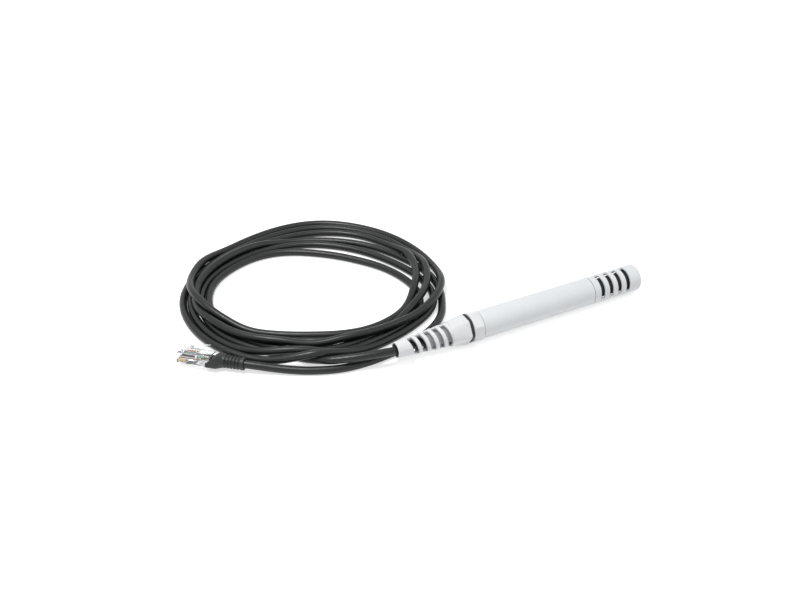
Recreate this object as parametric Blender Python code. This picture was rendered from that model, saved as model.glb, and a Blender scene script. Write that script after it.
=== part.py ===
"""Rack temperature sensor: a tubular probe with a vented cap and a cable gland with a
flexing tail, a black cord laid in a round coil, and a clear eight-way plug in a black boot.

The probe lies along X with its cap at +X. The origin is on the floor below the
middle of the probe. Sizes are metres, written as millimetres times MM.
"""

import math

import bmesh
import bpy
from mathutils import Matrix, Vector

MM = 0.001

# Clearances and facets
SEAT_GAP = 0.3 * MM
FINE_GAP = 0.12 * MM
TURN_STEPS = 48
SMALL_TURN_STEPS = 24
ARC_STEPS = 5
SMOOTH_ANGLE = math.radians(35)

# Probe lengths, from the mouth of the tail to the end of the cap, and where the tail ends
NUT_FRONT_X = -53.6 * MM
TAIL_LENGTH = 36.9 * MM
NUT_LENGTH = 12.8 * MM
NUT_GAP = 1.4 * MM
COLLAR_LENGTH = 7.6 * MM
TUBE_LENGTH = 84.3 * MM
CAP_LENGTH = 38.0 * MM

# Probe tube and vented cap
HOUSING_DIAMETER = 18.0 * MM
TUBE_WALL = 2.5 * MM
SPIGOT_LENGTH = 7.0 * MM
CAP_WALL = 1.2 * MM
CAP_END_WALL = 2.0 * MM
CAP_EDGE_ROUND = 1.8 * MM
SLOT_COUNT = 4
SLOT_PITCH = 6.75 * MM
SLOT_WIDTH = 2.55 * MM
FIRST_SLOT_FROM_JOINT = 6.6 * MM
SLOT_CHORD_SHARE = 0.5
SLOT_TURN = math.radians(45)
SCREEN_WALL = 0.6 * MM
SCREEN_SOCKET = 5.0 * MM

# Gland body with its hexagonal collar
COLLAR_ACROSS_FLATS = 18.0 * MM
COLLAR_CORNER_RADIUS = 10.15 * MM
COLLAR_CHAMFER = 0.9 * MM
COLLAR_TURN = math.radians(30)
COLLAR_CORE_RADIUS = 8.0 * MM
GLAND_SPIGOT_LENGTH = 6.5 * MM
GLAND_SPIGOT_BORE_RADIUS = 4.6 * MM
NOSE_LENGTH = 9.4 * MM
NOSE_RADIUS = 5.6 * MM
NOSE_BORE_RADIUS = 4.4 * MM
NOSE_BORE_DEPTH = 6.6 * MM
CORD_HOLE_CLEARANCE = 0.4 * MM
GROMMET_REACH = 1.0 * MM
WASHER_ACROSS_FLATS = 16.6 * MM
WASHER_CORNER_RADIUS = 9.4 * MM

# Cap nut moulded in one with the flexing tail
NUT_ACROSS_FLATS = 17.0 * MM
NUT_CORNER_RADIUS = 9.7 * MM
NUT_FRONT_RADIUS = 7.95 * MM
NUT_CONE_LENGTH = 10.6 * MM
NUT_CHAMFER = 0.4 * MM
NUT_TURN = math.radians(0)
NUT_CAVITY_CONE = 1.8 * MM
TAIL_ROOT_RADIUS = 7.75 * MM
TAIL_MOUTH_RADIUS = 5.2 * MM
TAIL_MOUTH_ROUND = 0.5 * MM
TAIL_MOUTH_BORE_RADIUS = 4.3 * MM
TAIL_BORE_RADIUS = 3.1 * MM
TAIL_WIDE_BORE_LENGTH = 18.2 * MM
TAIL_BORE_TAPER = 8.0 * MM
RELIEF_SLOT_COUNT = 5
RELIEF_SLOT_PITCH = 5.78 * MM
RELIEF_SLOT_WIDTH = 2.8 * MM
RELIEF_SLOT_DEPTH = 2.4 * MM
RELIEF_SLOT_LEAD = 8.7 * MM
RELIEF_SLOT_CENTRE = math.radians(14)
RELIEF_SLOT_HALF_ANGLE = math.radians(84)
FIRST_RELIEF_SLOT = 11.2 * MM
RELIEF_SLOT_STEPS = 12

# Board inside the probe
BOARD_WIDTH = 10.0 * MM
BOARD_THICKNESS = 1.6 * MM
BOARD_START_FROM_COLLAR = 15.5 * MM
BOARD_TIP_CLEARANCE = 8.1 * MM
CARRIER_LENGTH = 3.0 * MM
REAR_CARRIER_FROM_BOARD_END = 13.0 * MM
FRONT_CARRIER_FROM_TUBE_END = 10.0 * MM
HEADER_SIZE = (6.4 * MM, 8.4 * MM, 3.6 * MM)
HEADER_FROM_BOARD_END = 4.2 * MM
SENSOR_CHIP_SIZE = (4.0 * MM, 3.4 * MM, 1.6 * MM)
SENSOR_CHIP_FROM_TIP = 4.0 * MM
INTERFACE_CHIP_SIZE = (5.0 * MM, 4.0 * MM, 1.5 * MM)
INTERFACE_CHIP_FROM_CARRIER = 9.0 * MM
CAPACITOR_SIZE = (2.0 * MM, 1.25 * MM, 1.2 * MM)
CAPACITOR_STEP = 5.5 * MM
COMPONENT_EDGE = 0.1 * MM
LEAD_DIAMETER = 1.1 * MM
LEAD_COUNT = 4
LEAD_PITCH = 1.9 * MM
LEAD_BUNCH = 0.8 * MM

# Cord
CORD_DIAMETER = 5.2 * MM
CORD_POINT_SPACING = 2.4
CORD_START_FROM_COLLAR = 2.4 * MM
COIL_CENTRE = (-102.55 * MM, 99.0 * MM)
COIL_OUTER_RADIUS = 86.5 * MM
COIL_INNER_RADIUS = 55.5 * MM
COIL_HEIGHT = 13.0 * MM
COIL_EDGE_ROUND = 5.0 * MM
# The cord from the mouth of the tail to the coil, over the run to the plug
GLAND_RUN_ROUTE = (
    (-87.35, 0.0, 10.15),
    (-92.55, 0.2, 10.15),
    (-98.35, 1.2, 10.1),
    (-104.35, 2.5, 9.9),
    (-111.35, 4.7, 9.4),
    (-117.85, 7.4, 8.6),
    (-123.85, 10.4, 7.7),
    (-128.85, 13.3, 7.0),
)
# The cord from the coil, behind the tail, to the boot of the plug
PLUG_RUN_ROUTE = (
    (-36.35, 38.3, 2.6),
    (-40.85, 31.2, 2.6),
    (-48.85, 23.2, 2.6),
    (-60.35, 16.3, 2.6),
    (-74.35, 11.0, 2.6),
    (-89.35, 7.6, 2.6),
    (-108.35, 6.2, 2.6),
    (-124.35, 8.0, 2.6),
    (-140.35, 14.0, 2.6),
    (-152.35, 20.6, 3.0),
    (-161.85, 26.6, 3.8),
    (-168.85, 31.0, 4.7),
)

# Plug and boot, along local X from the nose at zero back to the cord
PLUG_NOSE = (-207.3 * MM, 63.67 * MM, 5.35 * MM)
PLUG_HEADING = math.radians(138.5)
PLUG_ROLL = math.radians(16)
PLUG_LENGTH = 21.5 * MM
PLUG_WIDTH = 11.7 * MM
PLUG_HEIGHT = 6.8 * MM
PLUG_EDGE = 0.35 * MM
PLUG_CAVITY_WIDTH = 8.8 * MM
PLUG_CAVITY_HEIGHT = 5.7 * MM
PLUG_CAVITY_DEPTH = 9.5 * MM
TUNNEL_WIDTH = 8.6 * MM
TUNNEL_HEIGHT = 1.3 * MM
TUNNEL_FROM_NOSE = 2.2 * MM
CRIMP_WINDOW = (3.0 * MM, 6.4 * MM, 0.3 * MM)
CRIMP_WINDOW_FROM_NOSE = 14.6 * MM
CONTACT_COUNT = 8
CONTACT_PITCH = 1.02 * MM
CONTACT_LENGTH = 4.4 * MM
CONTACT_THICKNESS = 0.36 * MM
CONTACT_FROM_NOSE = 1.3 * MM
CONTACT_RECESS = 0.5 * MM
CONDUCTOR_DIAMETER = 0.8 * MM
CONDUCTOR_FAN_LENGTH = 5.0 * MM
CONDUCTOR_BUNCH_SHARE = 0.45
CONDUCTOR_LAYER_HEIGHT = 0.6 * MM
CONDUCTOR_STRAIGHT = 1.0 * MM
LATCH_ROOT = 1.0 * MM
LATCH_THICKNESS = 0.9 * MM
LATCH_LENGTH = 18.6 * MM
LATCH_RISE = 4.3 * MM
LATCH_WIDTH = 3.2 * MM
LATCH_BASE_WIDTH = 6.0 * MM
LATCH_BASE_LENGTH = 7.6 * MM
BOOT_LENGTH = 23.3 * MM
BOOT_END_FROM_NOSE = 42.4 * MM
BOOT_WALL = 0.45 * MM
BOOT_CORNER_RADIUS = 2.0 * MM
BOOT_HOOD_LENGTH = 10.3 * MM
BOOT_TAPER_LENGTH = 5.0 * MM
BOOT_MOUTH_SLOPE = 6.4 * MM
BOOT_JAW_TOP = -0.8 * MM
LOFT_ROUND = 0.05 * MM
BOOT_NECK_RADIUS = 4.3 * MM
BOOT_TAIL_RADIUS = 4.0 * MM
BOOT_RIB_COUNT = 5
BOOT_RIB_PITCH = 2.15 * MM
BOOT_GROOVE_DEPTH = 0.7 * MM
BOOT_END_RING = 1.9 * MM
CORD_IN_PLUG = 1.2 * MM

# Stations along the probe, worked out from the lengths above
MOUTH_X = NUT_FRONT_X - TAIL_LENGTH
NUT_REAR_X = NUT_FRONT_X + NUT_LENGTH
COLLAR_FRONT_X = NUT_REAR_X + NUT_GAP
COLLAR_REAR_X = COLLAR_FRONT_X + COLLAR_LENGTH
CAP_JOINT_X = COLLAR_REAR_X + TUBE_LENGTH
CAP_END_X = CAP_JOINT_X + CAP_LENGTH
AXIS_HEIGHT = COLLAR_CORNER_RADIUS
HOUSING_RADIUS = HOUSING_DIAMETER / 2
TUBE_BORE_RADIUS = HOUSING_RADIUS - TUBE_WALL
CAP_BORE_RADIUS = HOUSING_RADIUS - CAP_WALL
CORD_RADIUS = CORD_DIAMETER / 2
CORD_HOLE_RADIUS = CORD_RADIUS + CORD_HOLE_CLEARANCE
CORD_START_X = COLLAR_FRONT_X + CORD_START_FROM_COLLAR
BOARD_START_X = COLLAR_REAR_X + BOARD_START_FROM_COLLAR
BOARD_END_X = CAP_END_X - CAP_END_WALL - BOARD_TIP_CLEARANCE
REAR_CARRIER_X = BOARD_START_X + REAR_CARRIER_FROM_BOARD_END
FRONT_CARRIER_X = CAP_JOINT_X - FRONT_CARRIER_FROM_TUBE_END


# Helpers

def clear_scene():
    for thing in list(bpy.data.objects):
        bpy.data.objects.remove(thing)


def plastic(name, colour, roughness, metallic=0.0, transmission=0.0):
    """A Principled material with the piece's own colour and finish."""
    material = bpy.data.materials.new(name)
    material.use_nodes = True
    shader = material.node_tree.nodes["Principled BSDF"]
    shader.inputs["Base Color"].default_value = (*colour, 1.0)
    shader.inputs["Roughness"].default_value = roughness
    shader.inputs["Metallic"].default_value = metallic
    shader.inputs["Transmission Weight"].default_value = transmission
    return material


def holder(name, location, heading=0.0, roll=0.0):
    """An empty that carries a group of pieces."""
    empty = bpy.data.objects.new(name, None)
    empty.location = location
    empty.rotation_euler = (roll, 0.0, heading)
    bpy.context.scene.collection.objects.link(empty)
    return empty


def add_object(name, data, material, parent):
    piece = bpy.data.objects.new(name, data)
    bpy.context.scene.collection.objects.link(piece)
    piece.parent = parent
    if material:
        data.materials.append(material)
    return piece


def finish_mesh(name, shape, material, parent, smooth=True):
    """Turns a bmesh into an object whose faces point out."""
    bmesh.ops.recalc_face_normals(shape, faces=shape.faces)
    mesh = bpy.data.meshes.new(name)
    shape.to_mesh(mesh)
    shape.free()
    if smooth:
        mesh.shade_smooth()
        mesh.set_sharp_from_angle(angle=SMOOTH_ANGLE)
    return add_object(name, mesh, material, parent)


def as_cutter(piece):
    piece.hide_render = True
    piece.display_type = "WIRE"
    return piece


def combine(piece, other, operation):
    """Adds a Boolean of the other piece, which stays in the scene as a wire guide."""
    boolean = piece.modifiers.new(other.name, "BOOLEAN")
    boolean.operation = operation
    boolean.solver = "EXACT"
    boolean.object = as_cutter(other)


def round_corner(x, radius, size, start, end):
    """Points of a quarter round about (x, radius), from one angle to another in degrees."""
    steps = [start + (end - start) * i / ARC_STEPS for i in range(ARC_STEPS + 1)]
    angles = [math.radians(step) for step in steps]
    return [(x + size * math.cos(angle), radius + size * math.sin(angle)) for angle in angles]


def turned(name, outline, material, parent, steps=TURN_STEPS):
    """Spins a closed outline of (x, radius) points once round the X axis."""
    shape = bmesh.new()
    points = [shape.verts.new((x, 0.0, radius)) for x, radius in outline]
    pairs = zip(points, points[1:] + points[:1])
    edges = [shape.edges.new(pair) for pair in pairs if pair[0].co.z + pair[1].co.z > 0]
    bmesh.ops.spin(
        shape,
        geom=points + edges,
        cent=(0, 0, 0),
        axis=(1, 0, 0),
        angle=math.tau,
        steps=steps,
        use_merge=True,
    )
    bmesh.ops.remove_doubles(shape, verts=shape.verts, dist=0.001 * MM)
    return finish_mesh(name, shape, material, parent)


def box(shape, size, centre, turn=None):
    """Adds one box to a bmesh. The turn is applied after the box is moved to its centre."""
    matrix = Matrix.Translation(centre) @ Matrix.Diagonal((*size, 1.0))
    if turn:
        matrix = turn @ matrix
    bmesh.ops.create_cube(shape, size=1.0, matrix=matrix)


def box_piece(name, size, centre, material, parent, edge=0.0):
    """A box with slightly broken edges."""
    shape = bmesh.new()
    box(shape, size, centre)
    if edge:
        bmesh.ops.bevel(
            shape, geom=shape.edges[:], offset=edge, segments=1, affect="EDGES", profile=0.5
        )
    return finish_mesh(name, shape, material, parent, smooth=False)


def hexagon_ring(name, across_flats, start_x, end_x, envelope, turn, parent):
    """A hexagonal prism along X, trimmed by a turned envelope that rounds its corners."""
    shape = bmesh.new()
    radius = across_flats / math.sqrt(3)
    matrix = (
        Matrix.Translation(((start_x + end_x) / 2, 0, 0))
        @ Matrix.Rotation(turn, 4, "X")
        @ Matrix.Rotation(math.pi / 2, 4, "Y")
    )
    bmesh.ops.create_cone(
        shape,
        cap_ends=True,
        segments=6,
        radius1=radius,
        radius2=radius,
        depth=end_x - start_x,
        matrix=matrix,
    )
    prism = finish_mesh(name, shape, None, parent, smooth=False)
    combine(prism, turned(name + "_envelope", envelope, None, parent), "INTERSECT")
    return prism


def smooth_points(route, spacing):
    """Points at an even spacing on a smooth curve through the route's own points."""
    ends = [2 * route[0] - route[1]], [2 * route[-1] - route[-2]]
    knots = ends[0] + route + ends[1]
    fine = []
    for before, start, end, after in zip(knots, knots[1:], knots[2:], knots[3:]):
        for i in range(20):
            t = i / 20
            point = 2 * start + (end - before) * t
            point += (2 * before - 5 * start + 4 * end - after) * t * t
            point += (3 * start - before - 3 * end + after) * t * t * t
            fine.append(point / 2)
    fine.append(route[-1])
    steps = [(b - a).length for a, b in zip(fine, fine[1:])]
    count = max(1, round(sum(steps) / spacing))
    wanted = sum(steps) / count
    points, travelled = [fine[0]], 0.0
    for point, step in zip(fine[1:], steps):
        travelled += step
        if travelled >= wanted * len(points) - 1e-9 and len(points) < count:
            points.append(point)
    return points + [fine[-1]]


def tube_along(name, points, radius, material, parent, facets=2):
    """A round tube with closed ends along the points."""
    curve = bpy.data.curves.new(name, "CURVE")
    curve.dimensions = "3D"
    curve.bevel_depth = radius
    curve.bevel_resolution = facets
    curve.use_fill_caps = True
    spline = curve.splines.new("POLY")
    spline.points.add(len(points) - 1)
    for slot, point in zip(spline.points, points):
        slot.co = (*point, 1.0)
    spline.use_smooth = True
    return add_object(name, curve, material, parent)


# Materials

def make_materials():
    return {
        "housing": plastic("housing_plastic", (0.80, 0.82, 0.84), 0.42),
        "gland": plastic("gland_plastic", (0.78, 0.80, 0.82), 0.38),
        "screen": plastic("screen_mesh", (0.015, 0.015, 0.016), 0.85),
        "rubber": plastic("black_rubber", (0.02, 0.02, 0.022), 0.7),
        "board": plastic("circuit_board", (0.03, 0.20, 0.07), 0.45),
        "chip": plastic("chip_body", (0.02, 0.02, 0.02), 0.5),
        "ceramic": plastic("capacitor_ceramic", (0.45, 0.33, 0.20), 0.4),
        "header": plastic("header_nylon", (0.85, 0.83, 0.76), 0.5),
        "cord": plastic("cord_jacket", (0.018, 0.019, 0.021), 0.42),
        "boot": plastic("boot_plastic", (0.020, 0.021, 0.023), 0.5),
        "clear": plastic("clear_plastic", (0.92, 0.94, 0.95), 0.06, transmission=0.9),
        "gold": plastic("contact_gold", (0.85, 0.62, 0.26), 0.25, metallic=1.0),
        "core_colours": [
            plastic("core_white_orange", (0.85, 0.55, 0.35), 0.45),
            plastic("core_orange", (0.85, 0.25, 0.03), 0.45),
            plastic("core_white_green", (0.55, 0.80, 0.60), 0.45),
            plastic("core_blue", (0.04, 0.12, 0.55), 0.45),
            plastic("core_white_blue", (0.50, 0.60, 0.85), 0.45),
            plastic("core_green", (0.03, 0.32, 0.10), 0.45),
            plastic("core_white_brown", (0.70, 0.55, 0.45), 0.45),
            plastic("core_brown", (0.22, 0.10, 0.05), 0.45),
        ],
    }


# Probe tube, cap and screen

def make_probe_tube(materials, probe):
    """The tube, with a thinner spigot that the cap slides over."""
    start = COLLAR_REAR_X + SEAT_GAP
    spigot_end = CAP_JOINT_X + SPIGOT_LENGTH
    spigot_radius = CAP_BORE_RADIUS - SEAT_GAP
    outline = [
        (start, HOUSING_RADIUS),
        (CAP_JOINT_X, HOUSING_RADIUS),
        (CAP_JOINT_X, spigot_radius),
        (spigot_end, spigot_radius),
        (spigot_end, TUBE_BORE_RADIUS),
        (start, TUBE_BORE_RADIUS),
    ]
    turned("probe_tube", outline, materials["housing"], probe)


def make_vent_cap(materials, probe):
    """The closed cap with four rows of two opposed saw cuts."""
    start = CAP_JOINT_X + SEAT_GAP
    inner_end = CAP_END_X - CAP_END_WALL
    edge = round_corner(
        CAP_END_X - CAP_EDGE_ROUND, HOUSING_RADIUS - CAP_EDGE_ROUND, CAP_EDGE_ROUND, 90, 0
    )
    outline = [(start, HOUSING_RADIUS), *edge, (CAP_END_X, 0.0), (inner_end, 0.0)]
    outline += [(inner_end, CAP_BORE_RADIUS), (start, CAP_BORE_RADIUS)]
    cap = turned("vent_cap", outline, materials["housing"], probe)

    shape = bmesh.new()
    chord = HOUSING_RADIUS * SLOT_CHORD_SHARE
    depth = HOUSING_RADIUS
    for row in range(SLOT_COUNT):
        x = CAP_JOINT_X + FIRST_SLOT_FROM_JOINT + row * SLOT_PITCH
        for side in (0, math.pi):
            turn = Matrix.Rotation(SLOT_TURN + side, 4, "X")
            box(shape, (SLOT_WIDTH, 2 * depth, depth), (x, 0, chord + depth / 2), turn)
    combine(cap, finish_mesh("vent_slot_cutter", shape, None, probe, False), "DIFFERENCE")


def make_vent_screen(materials, probe):
    """The dark sleeve behind the slots, held in the tube's bore and by the cap's end."""
    outer = TUBE_BORE_RADIUS - SEAT_GAP
    start = CAP_JOINT_X + SPIGOT_LENGTH - SCREEN_SOCKET
    end = CAP_END_X - CAP_END_WALL - SEAT_GAP
    inner = outer - SCREEN_WALL
    outline = [(start, outer), (end, outer), (end, inner), (start, inner)]
    turned("vent_screen", outline, materials["screen"], probe)


# Cable gland

def make_gland_body(materials, probe):
    """Hexagonal collar with a spigot in the tube and a bored nose in the cap nut."""
    spigot_end = COLLAR_REAR_X + GLAND_SPIGOT_LENGTH
    spigot_radius = TUBE_BORE_RADIUS - SEAT_GAP
    nose_end = COLLAR_FRONT_X - NOSE_LENGTH
    nose_bore_end = nose_end + NOSE_BORE_DEPTH
    outline = [
        (nose_end, NOSE_RADIUS),
        (COLLAR_FRONT_X, NOSE_RADIUS),
        (COLLAR_FRONT_X, COLLAR_CORE_RADIUS),
        (COLLAR_REAR_X, COLLAR_CORE_RADIUS),
        (COLLAR_REAR_X, spigot_radius),
        (spigot_end, spigot_radius),
        (spigot_end, GLAND_SPIGOT_BORE_RADIUS),
        (COLLAR_REAR_X, GLAND_SPIGOT_BORE_RADIUS),
        (COLLAR_REAR_X, CORD_HOLE_RADIUS),
        (nose_bore_end, CORD_HOLE_RADIUS),
        (nose_bore_end, NOSE_BORE_RADIUS),
        (nose_end, NOSE_BORE_RADIUS),
    ]
    body = turned("gland_body", outline, materials["gland"], probe)
    inner = (COLLAR_CORE_RADIUS + NOSE_RADIUS) / 2
    chamfered = COLLAR_CORNER_RADIUS - COLLAR_CHAMFER
    envelope = [
        (COLLAR_FRONT_X, inner),
        (COLLAR_FRONT_X, chamfered),
        (COLLAR_FRONT_X + COLLAR_CHAMFER, COLLAR_CORNER_RADIUS),
        (COLLAR_REAR_X - COLLAR_CHAMFER, COLLAR_CORNER_RADIUS),
        (COLLAR_REAR_X, chamfered),
        (COLLAR_REAR_X, inner),
    ]
    past = COLLAR_CHAMFER
    ring = hexagon_ring(
        "gland_hexagon",
        COLLAR_ACROSS_FLATS,
        COLLAR_FRONT_X - past,
        COLLAR_REAR_X + past,
        envelope,
        COLLAR_TURN,
        probe,
    )
    combine(body, ring, "UNION")


def make_seal_washer(materials, probe):
    """Dark hexagonal washer between the cap nut and the collar."""
    start = NUT_REAR_X + SEAT_GAP
    end = COLLAR_FRONT_X - SEAT_GAP
    inner = NOSE_RADIUS + SEAT_GAP
    outline = [(start, WASHER_CORNER_RADIUS), (end, WASHER_CORNER_RADIUS), (end, inner), (start, inner)]
    washer = hexagon_ring(
        "seal_washer",
        WASHER_ACROSS_FLATS,
        start - SEAT_GAP,
        end + SEAT_GAP,
        outline,
        NUT_TURN,
        probe,
    )
    washer.data.materials.append(materials["rubber"])


def make_clamp_grommet(materials, probe):
    """Rubber bush squeezed on to the cord between the nose and the nut."""
    nose_end = COLLAR_FRONT_X - NOSE_LENGTH
    start = nose_end - GROMMET_REACH
    end = nose_end + NOSE_BORE_DEPTH - SEAT_GAP
    outer = NOSE_BORE_RADIUS - SEAT_GAP
    inner = CORD_RADIUS + SEAT_GAP
    outline = [(start, (outer + inner) / 2), (nose_end, outer), (end, outer)]
    outline += [(end, inner), (start, inner)]
    turned("clamp_grommet", outline, materials["rubber"], probe, SMALL_TURN_STEPS)


def tail_radius(x):
    share = (x - MOUTH_X) / TAIL_LENGTH
    return TAIL_MOUTH_RADIUS + (TAIL_ROOT_RADIUS - TAIL_MOUTH_RADIUS) * share


def relief_slot(shape, x, side):
    """One slot round half the tail: a rectangle swept along a short helix.

    The side is the angle of the slot's middle, and zero faces -Y.
    """
    rings = []
    for step in range(RELIEF_SLOT_STEPS + 1):
        share = 2 * step / RELIEF_SLOT_STEPS - 1
        angle = side + share * RELIEF_SLOT_HALF_ANGLE
        centre = x - RELIEF_SLOT_LEAD * share * RELIEF_SLOT_HALF_ANGLE / math.tau
        inner = tail_radius(centre) - RELIEF_SLOT_DEPTH
        outer = TAIL_ROOT_RADIUS + RELIEF_SLOT_DEPTH
        half = RELIEF_SLOT_WIDTH / 2
        corners = [(centre - half, inner), (centre + half, inner)]
        corners += [(centre + half, outer), (centre - half, outer)]
        rings.append(
            [
                shape.verts.new((cx, -radius * math.cos(angle), radius * math.sin(angle)))
                for cx, radius in corners
            ]
        )
    for a, b in zip(rings, rings[1:]):
        for i in range(4):
            shape.faces.new((a[i], a[(i + 1) % 4], b[(i + 1) % 4], b[i]))
    shape.faces.new(rings[0])
    shape.faces.new(rings[-1])


def make_cap_nut(materials, probe):
    """Cap nut and flexing tail in one moulding.

    The tail tapers to its mouth, its bore widens towards the mouth, and opposed helical
    slots of one depth cut it: those near the mouth go through, the others stay grooves.
    """
    bore_taper_x = MOUTH_X + TAIL_WIDE_BORE_LENGTH
    narrow_x = bore_taper_x + TAIL_BORE_TAPER
    cavity_radius = NOSE_RADIUS + SEAT_GAP
    cavity_end = COLLAR_FRONT_X - NOSE_LENGTH - GROMMET_REACH + SEAT_GAP
    cone_end = cavity_end - NUT_CAVITY_CONE
    lip = round_corner(
        MOUTH_X + TAIL_MOUTH_ROUND, TAIL_MOUTH_RADIUS - TAIL_MOUTH_ROUND, TAIL_MOUTH_ROUND, 180, 90
    )
    core = (NUT_FRONT_RADIUS + NOSE_RADIUS) / 2 + SEAT_GAP
    outline = [
        (MOUTH_X, TAIL_MOUTH_BORE_RADIUS),
        *lip,
        (NUT_FRONT_X, TAIL_ROOT_RADIUS),
        (NUT_FRONT_X + NUT_CHAMFER, TAIL_ROOT_RADIUS),
        (NUT_FRONT_X + NUT_CHAMFER, core),
        (NUT_REAR_X, core),
        (NUT_REAR_X, cavity_radius),
        (cavity_end, cavity_radius),
        (cone_end, TAIL_BORE_RADIUS),
        (narrow_x, TAIL_BORE_RADIUS),
        (bore_taper_x, TAIL_MOUTH_BORE_RADIUS),
    ]
    nut = turned("cap_nut", outline, materials["gland"], probe)

    slots = bmesh.new()
    for number in range(RELIEF_SLOT_COUNT):
        x = MOUTH_X + FIRST_RELIEF_SLOT + number * RELIEF_SLOT_PITCH
        relief_slot(slots, x, RELIEF_SLOT_CENTRE)
        if number < RELIEF_SLOT_COUNT - 1:
            relief_slot(slots, x + RELIEF_SLOT_PITCH / 2, RELIEF_SLOT_CENTRE + math.pi)
    cutter = finish_mesh("relief_slot_cutter", slots, None, probe, smooth=False)
    combine(nut, cutter, "DIFFERENCE")

    inner = (core + cavity_radius) / 2
    envelope = [
        (NUT_FRONT_X, inner),
        (NUT_FRONT_X, NUT_FRONT_RADIUS),
        (NUT_FRONT_X + NUT_CONE_LENGTH, NUT_CORNER_RADIUS),
        (NUT_REAR_X - NUT_CHAMFER, NUT_CORNER_RADIUS),
        (NUT_REAR_X, NUT_CORNER_RADIUS - NUT_CHAMFER),
        (NUT_REAR_X, inner),
    ]
    ring = hexagon_ring(
        "nut_hexagon",
        NUT_ACROSS_FLATS,
        NUT_FRONT_X - NUT_CHAMFER,
        NUT_REAR_X + NUT_CHAMFER,
        envelope,
        NUT_TURN,
        probe,
    )
    combine(nut, ring, "UNION")


# Board and wiring inside the probe

def make_board(materials, probe):
    middle = (BOARD_START_X + BOARD_END_X) / 2
    size = (BOARD_END_X - BOARD_START_X, BOARD_WIDTH, BOARD_THICKNESS)
    box_piece("sensor_board", size, (middle, 0, 0), materials["board"], probe)


def make_carrier(name, start, materials, probe):
    """A disc in the tube's bore with a slot that the board slides through."""
    outer = TUBE_BORE_RADIUS - SEAT_GAP
    outline = [(start, outer), (start + CARRIER_LENGTH, outer)]
    outline += [(start + CARRIER_LENGTH, 0.0), (start, 0.0)]
    carrier = turned(name, outline, materials["header"], probe, SMALL_TURN_STEPS)
    shape = bmesh.new()
    size = (2 * CARRIER_LENGTH, BOARD_WIDTH + 2 * SEAT_GAP, BOARD_THICKNESS + 2 * SEAT_GAP)
    box(shape, size, (start + CARRIER_LENGTH / 2, 0, 0))
    combine(carrier, finish_mesh(name + "_cutter", shape, None, probe, False), "DIFFERENCE")


def on_board(name, size, x, y, material, probe):
    """A component that sits on the top of the board."""
    z = BOARD_THICKNESS / 2 + FINE_GAP + size[2] / 2
    box_piece(name, size, (x, y, z), material, probe, edge=COMPONENT_EDGE)


def make_components(materials, probe):
    """Sensing chip at the tip, interface chip and its capacitors, and the wire header."""
    tip = BOARD_END_X - SENSOR_CHIP_FROM_TIP
    on_board("temperature_chip", SENSOR_CHIP_SIZE, tip, 0, materials["chip"], probe)
    middle = REAR_CARRIER_X + CARRIER_LENGTH + INTERFACE_CHIP_FROM_CARRIER
    on_board("interface_chip", INTERFACE_CHIP_SIZE, middle, 0, materials["chip"], probe)
    for number in (1, 2):
        x = middle + number * CAPACITOR_STEP
        on_board(f"capacitor_{number}", CAPACITOR_SIZE, x, 0, materials["ceramic"], probe)
    header_x = BOARD_START_X + HEADER_FROM_BOARD_END
    on_board("wire_header", HEADER_SIZE, header_x, 0, materials["header"], probe)


def make_leads(materials, probe):
    """Four cores that fan out from the end of the cord to the header."""
    end = BOARD_START_X + HEADER_FROM_BOARD_END - HEADER_SIZE[0] / 2 - FINE_GAP
    height = BOARD_THICKNESS / 2 + HEADER_SIZE[2] / 2
    start = CORD_START_X + SEAT_GAP
    for number in range(LEAD_COUNT):
        y = (number - (LEAD_COUNT - 1) / 2) * LEAD_PITCH
        bunch_y = LEAD_BUNCH if number >= LEAD_COUNT / 2 else -LEAD_BUNCH
        bunch_z = LEAD_BUNCH if number % 2 else -LEAD_BUNCH
        route = [
            Vector((start, bunch_y, bunch_z)),
            Vector((COLLAR_REAR_X, bunch_y, bunch_z)),
            Vector(((COLLAR_REAR_X + end) / 2, (y + bunch_y) / 2, (height + bunch_z) / 2)),
            Vector((end - 2 * LEAD_DIAMETER, y, height)),
            Vector((end, y, height)),
        ]
        points = smooth_points(route, 2 * LEAD_DIAMETER)
        colour = materials["core_colours"][2 * number + 1]
        tube_along(f"lead_wire_{number + 1}", points, LEAD_DIAMETER / 2, colour, probe)


# Cord

def route_vectors(route):
    return [Vector(point) * MM for point in route]


def make_cord(materials, plug):
    spacing = CORD_POINT_SPACING * CORD_DIAMETER
    start = Vector((CORD_START_X, 0.0, AXIS_HEIGHT))
    inside = smooth_points([start, route_vectors(GLAND_RUN_ROUTE)[0]], spacing)
    outside = smooth_points(route_vectors(GLAND_RUN_ROUTE), spacing)
    tube_along(
        "cord_gland_run", inside[:-1] + outside, CORD_RADIUS, materials["cord"], None, facets=3
    )

    into_plug = plug.matrix_world @ Vector((CORD_IN_PLUG - PLUG_LENGTH, 0, 0))
    leaving = plug.matrix_world @ Vector((-BOOT_END_FROM_NOSE, 0, 0))
    straight = smooth_points([leaving, into_plug], spacing)
    free = smooth_points(route_vectors(PLUG_RUN_ROUTE) + [leaving], spacing)
    tube_along(
        "cord_plug_run", free + straight[1:], CORD_RADIUS, materials["cord"], None, facets=3
    )


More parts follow.
